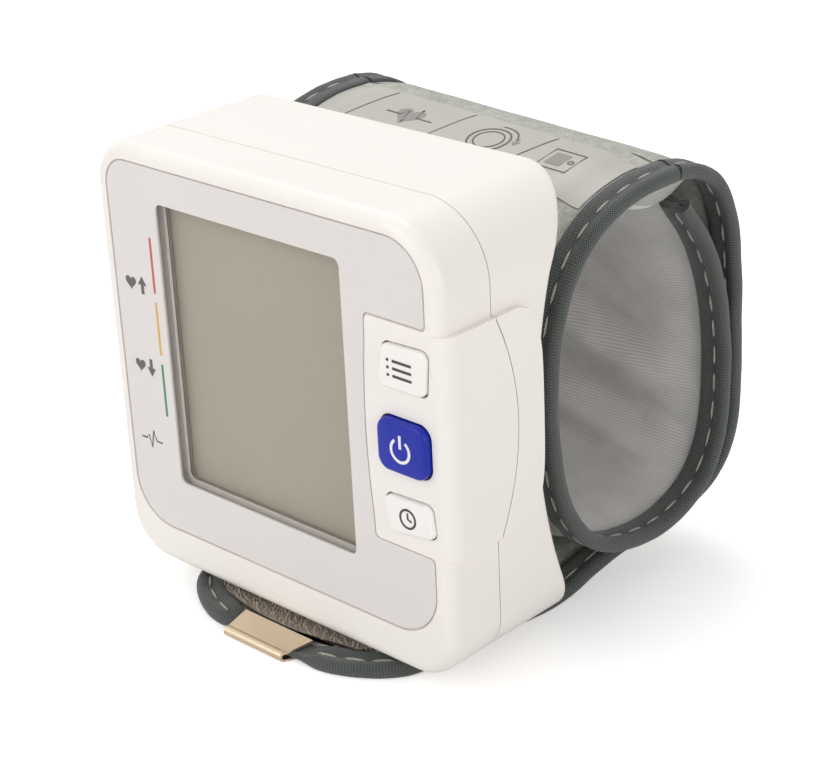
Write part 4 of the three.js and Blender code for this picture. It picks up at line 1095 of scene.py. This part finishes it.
# %% Cloth settling
def relax(bm, held, limit, slack=0.006, pressure=3.0, steps=16):
    """Lets a sleeve swell as slack cloth, held where held(along, x, inner) is true.

    The cloth solver is tuned for metre-sized cloth, so a copy is simulated in which 50 mm
    are a metre. Every point then moves by what the copy moved, softly capped, and the sleeve
    keeps its own faces."""
    flat = bm.loops.layers.uv["flat"]
    bm.verts.index_update()
    fixed = []
    for vert in bm.verts:
        along, x = (value * 100 for value in vert.link_loops[0][flat].uv)
        if held(along, x - 80 if x > 40 else x, x > 40):
            fixed.append(vert.index)
    mesh = bpy.data.meshes.new("cloth copy")
    bm.to_mesh(mesh)
    mesh.transform(Matrix.Scale(0.02, 4))
    copy = bpy.data.objects.new("cloth copy", mesh)
    bpy.context.scene.collection.objects.link(copy)
    copy.vertex_groups.new(name="held").add(fixed, 1.0, "REPLACE")
    solver = copy.modifiers.new("cloth", "CLOTH")
    solver.point_cache.frame_start = 1
    solver.point_cache.frame_end = steps
    solver.collision_settings.use_collision = False
    solver.collision_settings.use_self_collision = False
    solver.settings.quality = 4
    solver.settings.vertex_group_mass = "held"
    solver.settings.shrink_min = -slack
    solver.settings.use_pressure = True
    solver.settings.uniform_pressure_force = pressure
    solver.settings.bending_stiffness = 0.2
    solver.settings.effector_weights.gravity = 0
    for step in range(1, steps + 1):
        bpy.context.scene.frame_set(step)
    settled = copy.evaluated_get(bpy.context.evaluated_depsgraph_get()).data
    most = 0.0
    for vert in bm.verts:
        move = settled.vertices[vert.index].co * 50 - vert.co
        most = max(most, move.length)
        if move.length > 1e-4:
            vert.co += move * (limit * math.tanh(move.length / limit) / move.length)
    bpy.context.scene.frame_set(1)
    bpy.data.objects.remove(copy)
    print("cloth moved up to", round(most, 2), "mm, capped near", limit)
    return bm


# %% [markdown]
# ## Cover and lining
# The cover is fleece outside, pulled flat under the tapes and puffed in the middle. The lining is a
# finely ribbed cloth inside. Each is a sleeve with an outer and an inner face. The lining is also
# given a few soft folds, as cloth on the inside of a bend is too long for its place, and then it
# settles for a few steps of cloth simulation.


# %% Cover
def crown(x, edge, top, shoulder=29.7, soft=7.0):
    """How far the cloth stands out at a place across the band."""
    return edge + (top - edge) * (1 - smooth_step(abs(x), shoulder - soft, shoulder))


def layer(path, long, half, outer_face, inner_face, rows, across=56, start=0.0):
    """A strip of cloth with an outer and an inner face, closed at its edges."""

    def place(a, b):
        along = start + a * (long - start)
        share, first = two_faces(b)
        x = half * share
        out = (outer_face if first else inner_face)(along, x)
        return wrap(path, along, x, out), (along, x if first else 80 + x)

    return sleeve(rows, 2 * across, place)


CLOTH_HALF = 34
cover = layer(
    band_path,
    BAND_LONG,
    CLOTH_HALF,
    lambda s, x: crown(x, 0.62, 1.66) + 0.1 * ripple(s, x, 9),
    lambda s, x: crown(x, 0.15, 1.2),
    180,
)
settle(cover, "cuff_cover_cloth", cover_fleece, "monitor", "cover_cloth", ["cuff_cover"], 60)


# %% Lining
def folds(along, x):
    """Shallow folds that cross the lining slantwise, deepest at the rear of the loop."""
    middle = math.exp(-((x / 22) ** 4))
    slant = along - 0.37 * x + 3 * ripple(along, x, 30, 3.0)
    valley = 0.75 * hill(slant, 39.5, 3.4) + 0.4 * hill(slant, 23.5, 1.2) * smooth_step(x, -15, 5)
    swell = 2.8 * hill(slant, 31.5, 3.6) + 2.4 * hill(slant, 47.5, 4.2)
    return middle * (valley - swell - 0.4 + 0.5 * ripple(along, x, 11, 7.0))


lining = layer(
    band_path,
    BAND_LONG,
    CLOTH_HALF,
    lambda s, x: -crown(x, 0.15, 1.05),
    lambda s, x: -crown(x, 0.62, 1.75) + folds(s, x),
    170,
    50,
)
relax(lining, lambda s, x, inner: not inner or abs(x) > 28 or s < 3 or s > BAND_LONG - 3, 0.5)
settle(lining, "cuff_lining_cloth", lining_cloth, "monitor", "lining_cloth", ["cuff_lining"], 60)

# %% End pad
# The free inner end has a small pale pad over it, which fills the gap up to the top of the band and
# shows as a crescent above the lining. The pad sits in shade there, so its fleece, pale in itself,
# is made near white as painted light.
PAD_HALF, PAD_FRONT, PAD_LONG, PAD_TOP, PAD_DEEP = 33.2, 46, 15, 67.2, 4.6


def pad_place(a, b):
    share, top = two_faces(b)
    x = PAD_HALF * share
    high = PAD_TOP - 1.43 * x / BAND_HALF
    if not top:
        fade = max(0, 1 - abs(x / PAD_HALF) ** 12) ** 0.5
        lump = 0.4 * ripple(12 * a, x, 4, 9.0)
        high -= (PAD_DEEP + lump) * math.sin(math.pi * a) ** 0.7 * fade
    return Vector((x, PAD_FRONT + PAD_LONG * a, high)), (12 * a, x if top else 60 + x)


# The pad's near-white fleece colour is painted light: the pad itself sits in shade.
settle(sleeve(36, 120, pad_place), "end_pad", pale_fleece_painted_light, "monitor", "cover_cloth", sharp=60)

# %% Stiffener and bladder
# Between cover and lining lie a springy sheet and the flat air bladder.
stiffener = layer(band_path, BAND_LONG, 27, lambda s, x: 1.0, lambda s, x: 0.5, 120, 20)
settle(
    stiffener,
    "stiffener_sheet",
    natural_plastic,
    "monitor",
    "natural_plastic",
    ["cuff_stiffener"],
)
bladder = layer(
    band_path,
    BAND_LONG - 1,
    25,
    lambda s, x: 0.3 - 0.5 * (abs(x) / 25) ** 6,
    lambda s, x: -0.95 + 0.5 * (abs(x) / 25) ** 6,
    120,
    24,
    start=1.0,
)
settle(bladder, "bladder_bag", bladder_rubber, "monitor", "bladder_rubber", ["air_bladder"], 60)


# %% [markdown]
# ## Binding tape
# A woven tape is folded over each edge and sewn down. Its section is two puffed ridges with the
# seam's groove between them, on both faces. The tape is one long sleeve with that section, pinched
# a little at every stitch. The stitches are small capsules of thread that lie in the groove.

# %% Tape section
TAPE_FACE = [
    (5.0, 0.5), (5.05, 0.8), (4.8, 1.08), (4.3, 1.22), (3.7, 1.27), (3.1, 1.2), (2.6, 1.02),
    (2.25, 0.9), (1.9, 1.0), (1.5, 1.2), (1.05, 1.27), (0.6, 1.2), (0.25, 0.95), (0.03, 0.5),
]  # fmt: skip
TAPE_BACK = [(inwards, -out) for inwards, out in reversed(TAPE_FACE)]
TAPE_FOLD = [(4.6, -0.35), (0.9, -0.3), (0.9, 0.3), (4.6, 0.35), TAPE_FACE[0]]
TAPE_SECTION = [*TAPE_FACE, (-0.05, 0.0), *TAPE_BACK, *TAPE_FOLD]
section_steps = np.cumsum([0] + [math.dist(a, b) for a, b in zip(TAPE_SECTION, TAPE_SECTION[1:])])
SECTION_LONG = section_steps[-1]
SEAM_IN, STITCH_OUT = 2.25, 0.98
STITCH_PITCH, STITCH_LONG, STITCH_THICK = 5.0, 3.4, 0.42


def tape_point(b, along):
    """Inwards and outwards of the tape's section at a share round it."""
    run = b * SECTION_LONG
    inwards = np.interp(run, section_steps, [spot[0] for spot in TAPE_SECTION])
    out = np.interp(run, section_steps, [spot[1] for spot in TAPE_SECTION])
    hold = 0.5 + 0.5 * math.cos(2 * math.pi * along / STITCH_PITCH)
    puff = 1 - 0.16 * hill(inwards, SEAM_IN, 0.8) * hold + 0.05 * ripple(along, 3 * out, 2.5)
    edge = 0.12 * ripple(along, out, 6, 5.0) * (1 - smooth_step(inwards, 0, 2))
    return inwards + edge, out * puff


def band_tape(side, rows=300):
    """The tape along one edge of the band."""

    def place(a, b):
        along = a * BAND_LONG
        inwards, out = tape_point(b, along)
        spot = wrap(band_path, along, side * (BAND_HALF - inwards), out)
        return spot, (along, b * SECTION_LONG)

    return sleeve(rows, 56, place)


# %% Stitches
def stitch_row(spots):
    """Capsules of thread; a spot gives the middle, the run and the outward direction."""
    bm = bmesh.new()
    shape = Matrix.Diagonal((STITCH_THICK, STITCH_LONG, STITCH_THICK, 1))
    for middle, run, outwards in spots:
        side = run.cross(outwards).normalized()
        turn = Matrix((side, run.normalized(), side.cross(run.normalized()))).transposed().to_4x4()
        matrix = Matrix.Translation(middle) @ turn @ shape
        bmesh.ops.create_uvsphere(bm, u_segments=8, v_segments=6, radius=0.5, matrix=matrix)
    lay_map(bm)
    bmesh.ops.recalc_face_normals(bm, faces=bm.faces[:])
    return bm


def band_stitches(side):
    """Stitches on the outer and the inner face of one edge of the band."""
    spots = []
    x = side * (BAND_HALF - SEAM_IN)
    for i in range(int(BAND_LONG / STITCH_PITCH)):
        along = (i + 0.5) * STITCH_PITCH
        for out in (STITCH_OUT, -STITCH_OUT):
            here = wrap(band_path, along, x, out)
            run = wrap(band_path, along + 0.5, x, out) - here
            spots.append((here, run, wrap(band_path, along, x, 2 * out) - here))
    return stitch_row(spots)


for side, name in ((1, "right"), (-1, "left")):
    settle(
        band_tape(side),
        f"band_binding_{name}",
        tape_cloth,
        "monitor",
        "binding_tape",
        [f"band_tape_{name}"],
        70,
    )
    settle(band_stitches(side), f"band_stitches_{name}", thread, "monitor", "binding_tape")
print("stitches on the band:", 4 * int(BAND_LONG / STITCH_PITCH))


# %% [markdown]
# ## Printed film
# A clear-grey film is sewn on top of the band beside the seam. It carries three plain signs with
# thin curved lines between them: a heart with a pulse line, a cuff ring with an arrow that shows
# which way it closes, and a small unit with its window.

# %% Film
FILM_START, FILM_LONG, FILM_HALF = 3.2, 13.8, 29.4


def film_out(x):
    """Where the film's upper face lies, just over the cover."""
    return crown(x, 0.8, 1.98)


film = layer(
    band_path,
    BAND_LONG,
    FILM_HALF,
    lambda s, x: film_out(x) + 0.05 * ripple(s, x, 12, 4.0),
    lambda s, x: film_out(x) - 0.14 + 0.05 * ripple(s, x, 12, 4.0),
    160,
    40,
)
early = [
    vert
    for vert in film.verts
    if vert.co.z < LOOP_Z + 20 or vert.co.y > LOOP_Y + 0.374 * LOOP_DEPTH + 1
]
bmesh.ops.delete(film, geom=early, context="VERTS")
for back_from_seam, side in ((FILM_START + FILM_LONG, 1), (FILM_START, -1)):
    bmesh.ops.bisect_plane(
        film,
        geom=film.verts[:] + film.edges[:] + film.faces[:],
        plane_co=wrap(band_path, BAND_LONG - back_from_seam, 0, 2),
        plane_no=(0, side, 0),
        clear_inner=True,
    )
    bmesh.ops.holes_fill(film, edges=film.edges[:], sides=0)
bmesh.ops.recalc_face_normals(film, faces=film.faces[:])
settle(film, "film_sheet", printed_film, "monitor", "printed_film", ["print_film"], 50)


# %% Film signs
def on_film(along_from_seam, x, high):
    """Lays marks on the film: u is the distance back from the seam, v the place across."""
    along = BAND_LONG - along_from_seam
    return wrap(band_path, along, x, film_out(x) + 0.03 + high)


def turned(points, u, v):
    """Signs are drawn with their own right and up, then moved to the film's u and v."""
    return [(u - b, v + a) for a, b in points]


LINE_STEPS = 20
lines, fills = bmesh.new(), bmesh.new()
for x in (-19.5, -2.5, 14.5):
    line = [(3.8 + i * 0.65, x - 3.2 * (i / 19) ** 1.5) for i in range(LINE_STEPS)]
    mark(lines, line, 0.22, 0.02)
SIGN_U, HEART_V, RING_V, UNIT_V = 9.8, -11.5, 5.5, 20
beat = [(-4.6, -0.2), (-1.6, -0.2), (-0.9, 1.3), (0.1, -2.2), (1.1, 2.6), (1.8, -0.2), (5, -0.2)]
unit = [(-2.9, -2.7), (2.9, -2.7), (2.9, 2.7), (-2.9, 2.7), (-2.9, -2.7)]
screen = [(-2.0, -1.6), (0.9, -1.6), (0.9, 1.8), (-2.0, 1.8)]
for shape, v, width, thick in (
    (heart(0, 0, 5.4), HEART_V, None, 0.02),
    (beat, HEART_V, 0.3, 0.04),
    (arc(0, 0, 3.5, 20, 380, 40), RING_V, 0.3, 0.03),
    (arc(0, 0, 2.5, 0, 360, 36), RING_V, 0.24, 0.03),
    (arc(0, 0, 4.6, 100, 20, 20), RING_V, 0.28, 0.03),
    (arrow(4.5, 1.2, 2.2, 190), RING_V, None, 0.03),
    (unit, UNIT_V, 0.28, 0.03),
    (screen, UNIT_V, None, 0.02),
    (arc(1.95, 0, 0.45, 0, 360, 14), UNIT_V, 0.22, 0.03),
):
    mark(lines if width else fills, turned(shape, SIGN_U, v), width, thick)
lay_marks(lines, on_film, "film_lines", film_ink, "monitor", "printed_film")
lay_marks(fills, on_film, "film_fills", film_tint, "monitor", "printed_film")

# %% [markdown]
# ## Flap and tongue
# The flap leaves the seam on top of the loop, runs down its rear, and comes out under the unit as
# a flat tongue with a round tip. It is fleece bound with the same tape. It crosses the seam's
# hinge.


# %% Flap width and edge
TIP_ROUND = 13.2


def flap_half(along):
    """Half width of the flap at a distance along it, with its round tip."""
    from_tip = max(0.0, FLAP_LONG - along)
    round_off_share = math.sqrt(1 - (1 - min(1.0, from_tip / TIP_ROUND)) ** 2)
    place = 1 - along / FLAP_LONG
    width = (
        24.5 + 3.99 * smooth_step(place, 0.07, 0.33) + 6.51 * smooth_step(place, 0.33, 0.6)
    )
    return width * round_off_share


outline = [(s, flap_half(s)) for s in np.linspace(0, FLAP_LONG - 14, 180)]
for t in np.linspace(0, math.pi / 2 - 0.02, 60):
    s = FLAP_LONG - TIP_ROUND * (1 - math.sin(t))
    outline.append((s, flap_half(s)))
rim = np.array(outline + [(FLAP_LONG, 0.0)] + [(s, -x) for s, x in reversed(outline)])
rim_steps = np.concatenate([[0], np.cumsum(np.linalg.norm(np.diff(rim, axis=0), axis=1))])
RIM_LONG = rim_steps[-1]


def on_rim(run, inwards):
    """A point of the flap's own plane: so far round its rim, and so far in from it."""
    here, ahead, behind = (
        np.array([np.interp(place, rim_steps, rim[:, k]) for k in (0, 1)])
        for place in (run, min(run + 1.2, RIM_LONG), max(run - 1.2, 0))
    )
    direction = (ahead - behind) / np.linalg.norm(ahead - behind)
    return here[0] + direction[1] * inwards, here[1] - direction[0] * inwards


# %% Flap cloth
CLIP_LEFT, CLIP_RIGHT, CLIP_DEEP, TIP = -7.6, 7.5, 5.0, -6.2


def near_clip(x, y):
    """1 where the metal clip squeezes the cloth, 0 well away from it."""
    across = 1 - smooth_step(abs(x - (CLIP_LEFT + CLIP_RIGHT) / 2), 7.5, 11)
    return across * (1 - smooth_step(y, TIP + CLIP_DEEP, TIP + CLIP_DEEP + 3.5))


def at_clip(spot, x):
    """Squeezes a point of cloth at the clip, and draws its front edge back behind the roll."""
    off = abs(x - (CLIP_LEFT + CLIP_RIGHT) / 2)
    squeeze = near_clip(x, spot.y)
    spot.z = spot.z * (1 - squeeze) + (0.95 + (spot.z - TONGUE_MIDDLE) * 0.36) * squeeze
    spot.y += 1.2 * (1 - smooth_step(off, 6, 19)) * (1 - smooth_step(spot.y, TIP, TIP + 3))
    return spot


def flap_cloth(rows=220, across=60):
    """The flap's fleece, both faces, from the seam to the tip."""

    def place(a, b):
        along = FLAP_LONG * (1 - (1 - a) ** 1.25)
        edge = max(0.05, flap_half(along) - 1.0)
        share, first = two_faces(b)
        x = edge * share
        from_rim = min(edge - abs(x), FLAP_LONG - along)
        out = 0.45 + 0.55 * smooth_step(from_rim, 3.2, 8) + 0.07 * ripple(along, x, 8, 2.0 + b)
        spot = wrap(flap_path, min(along, FLAP_LONG - 1), x, out if first else -out)
        return at_clip(spot, x), (along, x if first else 80 + x)

    return sleeve(rows, 2 * across, place)


def flap_tape(rows=640):
    """The tape runs round the whole flap in one piece and passes through the clip."""

    def place(a, b):
        run = a * RIM_LONG
        inwards, out = tape_point(b, run)
        along, x = on_rim(run, inwards)
        return at_clip(wrap(flap_path, along, x, out), x), (run, b * SECTION_LONG)

    return sleeve(rows, 56, place)


def flap_stitches():
    """Stitches on both faces of the flap's tape, except inside the clip."""
    spots = []
    for i in range(int(RIM_LONG / STITCH_PITCH)):
        run = (i + 0.5) * STITCH_PITCH
        along, x = on_rim(run, SEAM_IN)
        along_next, x_next = on_rim(run + 0.5, SEAM_IN)
        for out in (STITCH_OUT, -STITCH_OUT):
            here = wrap(flap_path, along, x, out)
            if near_clip(x, here.y) > 0.05 or (out < 0 and here.z < 0.5):
                continue
            direction = wrap(flap_path, along_next, x_next, out) - here
            spots.append((here, direction, wrap(flap_path, along, x, 2 * out) - here))
    return stitch_row(spots)


BOTH_TAPES = ["flap_tape_right", "flap_tape_left"]
for bm, name, finish, slot, nodes in (
    (flap_cloth(), "flap_cloth", cover_fleece, "cover_cloth", ["flap"]),
    (flap_tape(), "flap_binding", tape_cloth, "binding_tape", BOTH_TAPES),
    (flap_stitches(), "flap_stitches", thread, "binding_tape", []),
):
    piece = settle(bm, name, finish, None, slot, nodes, 65)
    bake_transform(piece)
    print(name, len(piece.data.polygons), "faces")


# %% [markdown]
# ## Hook patch and end clip
# The rough patch on the tongue is hook tape: a woven ground with rows of tiny hooks. The clip is a
# bent steel sheet: its lower leg is flat on the table, the sheet is rolled round at the front, and
# the upper leg slopes up to its rear edge over the cloth. Its right end is cut at a slant.

# %% Hook patch
PATCH_START, PATCH_LONG, PATCH_HALF = 5.2, 40.8, 19.0


def patch_edge(from_tip):
    """Half width of the patch: it ends in the round of the tip."""
    return min(PATCH_HALF, flap_half(FLAP_LONG - from_tip) - 4.7)


def patch_bow(x, a):
    """How far the patch's front edge draws back beside the middle, as the tip is round."""
    return 3.4 * (x / PATCH_HALF) ** 2 * smooth_step(a, 0.6, 1)


def patch_place(a, b):
    from_tip = PATCH_START + PATCH_LONG * (1 - a)
    share, first = two_faces(b)
    x = patch_edge(from_tip) * share
    from_tip += patch_bow(x, a)
    out = -1.6 if first else -0.9
    return wrap(flap_path, FLAP_LONG - from_tip, x, out), (from_tip, x if first else 60 + x)


patch = sleeve(60, 80, patch_place)
settle(patch, "hook_patch_cloth", hook_cloth, "flap", "hook_cloth", ["hook_patch"], 60)

# Blender seeds vector noise by the clock. With a seed of its own it gives the same hooks each run.
HOOK_ROWS, HOOKS_ACROSS, HOOK_PITCH, HOOK_SEED = 52, 49, 0.8, 7
noise.seed_set(HOOK_SEED)
hooks = bmesh.new()
for i in range(HOOK_ROWS):
    row = bmesh.new()
    for j in range(HOOKS_ACROSS):
        x = -19.2 + HOOK_PITCH * j + 0.4 * (i % 2)
        from_tip = PATCH_START + 0.5 + i * 0.76 + patch_bow(x, 1 - i / HOOK_ROWS)
        if abs(x) > patch_edge(from_tip) - 0.2:
            continue
        jitter = noise.noise_vector(Vector((i * 1.7, j * 2.3, 0.5)))
        here = wrap(flap_path, FLAP_LONG - from_tip + 0.4 * jitter.x, x + 0.4 * jitter.y, -1.55)
        tall = 0.8 + 0.5 * jitter.z
        lean = Matrix.Rotation(1.3 * jitter.x, 4, "X") @ Matrix.Rotation(1.3 * jitter.y, 4, "Y")
        bmesh.ops.create_cone(
            row,
            cap_ends=True,
            segments=4,
            radius1=0.12,
            radius2=0.06,
            depth=tall,
            matrix=Matrix.Translation(here) @ lean @ Matrix.Translation((0, 0, tall / 2)),
        )
    row_mesh = bpy.data.meshes.new("row of hooks")
    row.to_mesh(row_mesh)
    row.free()
    hooks.from_mesh(row_mesh)
    bpy.data.meshes.remove(row_mesh)
lay_map(hooks)
settle(hooks, "hook_pile", hook_fibre, "flap", "hook_cloth")

# %% End clip
BACK_EDGE = TIP + CLIP_DEEP
ROLL, SHEET, SLANT = 0.82, 0.36, 2.4
curl = [math.radians(turn) for turn in range(62, 271, 16)]


def roll_round(radius, turns):
    """Points round the roll at the clip's front."""
    return [(TIP + ROLL + radius * math.cos(t), ROLL + radius * math.sin(t)) for t in turns]


clip_outline = [
    (BACK_EDGE, 2.2),
    (BACK_EDGE, 2.62),
    *roll_round(ROLL, curl),
    (BACK_EDGE, 0.0),
    (BACK_EDGE, 0.3),
    *roll_round(ROLL - SHEET, curl[::-1]),
]
clip = prism(clip_outline, "x", CLIP_LEFT, CLIP_RIGHT, 8)
for vert in clip.verts:
    if vert.co.x > 0:
        vert.co.x -= SLANT * (1 - (vert.co.y - TIP) / CLIP_DEEP)
settle(clip, "end_clip_sheet", clip_metal, "flap", "clip_metal", ["end_clip"], 30)

# %% [markdown]
# ## Floor and light
# The photograph has a white sheet all round and large soft lamps: one high at the left and rear
# that makes the top bright, one in front, and a smaller one from the right. The floor is plain
# diffuse white with a little glow for the camera's own rays only, so that the sheet turns white and
# its shadow stays.

# %% Floor
floor_mesh = bmesh.new()
bmesh.ops.create_grid(floor_mesh, x_segments=1, y_segments=1, size=4)
floor = to_object(floor_mesh, "floor")
floor_white, tree, shader = new_material("floor white", (0.9, 0.9, 0.9, 1), 0.9, specular=0.1)
FLOOR_GLOW = 0.42
paths = add(tree, "ShaderNodeLightPath")
glow = add(tree, "ShaderNodeMath", operation="MULTIPLY")
glow.inputs[1].default_value = FLOOR_GLOW
shader.inputs["Emission Color"].default_value = (1, 0.985, 0.97, 1)
wire(tree, (paths, "Is Camera Ray", glow, 0), (glow, 0, shader, "Emission Strength"))
floor.data.materials.append(floor_white)

# %% World
# The world looks white to the camera and in gloss, and lights the scene with a dimmer grey.
world = bpy.data.worlds.new("studio")
bpy.context.scene.world = world
world.use_nodes = True
tree = world.node_tree
paths = add(tree, "ShaderNodeLightPath")
seen = add(tree, "ShaderNodeMath", operation="MAXIMUM")
seen_too = add(tree, "ShaderNodeMath", operation="MAXIMUM")
tone = add(tree, "ShaderNodeMix", data_type="RGBA")
tone.inputs[6].default_value = (0.47, 0.47, 0.48, 1)
tone.inputs[7].default_value = (1, 1, 1, 1)
wire(
    tree,
    (paths, "Is Camera Ray", seen, 0),
    (paths, "Is Glossy Ray", seen, 1),
    (seen, 0, seen_too, 0),
    (paths, "Is Transmission Ray", seen_too, 1),
    (seen_too, 0, tone, 0),
    (tone, 2, tree.nodes["Background"], "Color"),
)


# %% Lamps
def lamp(name, place, target, size, watts, tint=(1, 1, 1)):
    """A square soft box that looks at a point."""
    made = bpy.data.objects.new(name, bpy.data.lights.new(name, "AREA"))
    bpy.context.scene.collection.objects.link(made)
    made.data.size = size
    made.data.energy = watts
    made.data.color = tint
    made.location = place
    made.rotation_euler = (Vector(target) - Vector(place)).to_track_quat("-Z", "Y").to_euler()
    return made


lamp("high lamp", (-0.35, 0.25, 0.85), (0, 0, 0.04), 0.6, 3.6)
lamp("front lamp", (-0.25, -0.8, 0.55), (0, 0, 0.04), 0.7, 3.8, (1, 0.99, 0.97))
lamp("side lamp", (0.9, -0.12, 0.36), (0, 0, 0.04), 0.45, 2.5, (1, 0.98, 0.95))
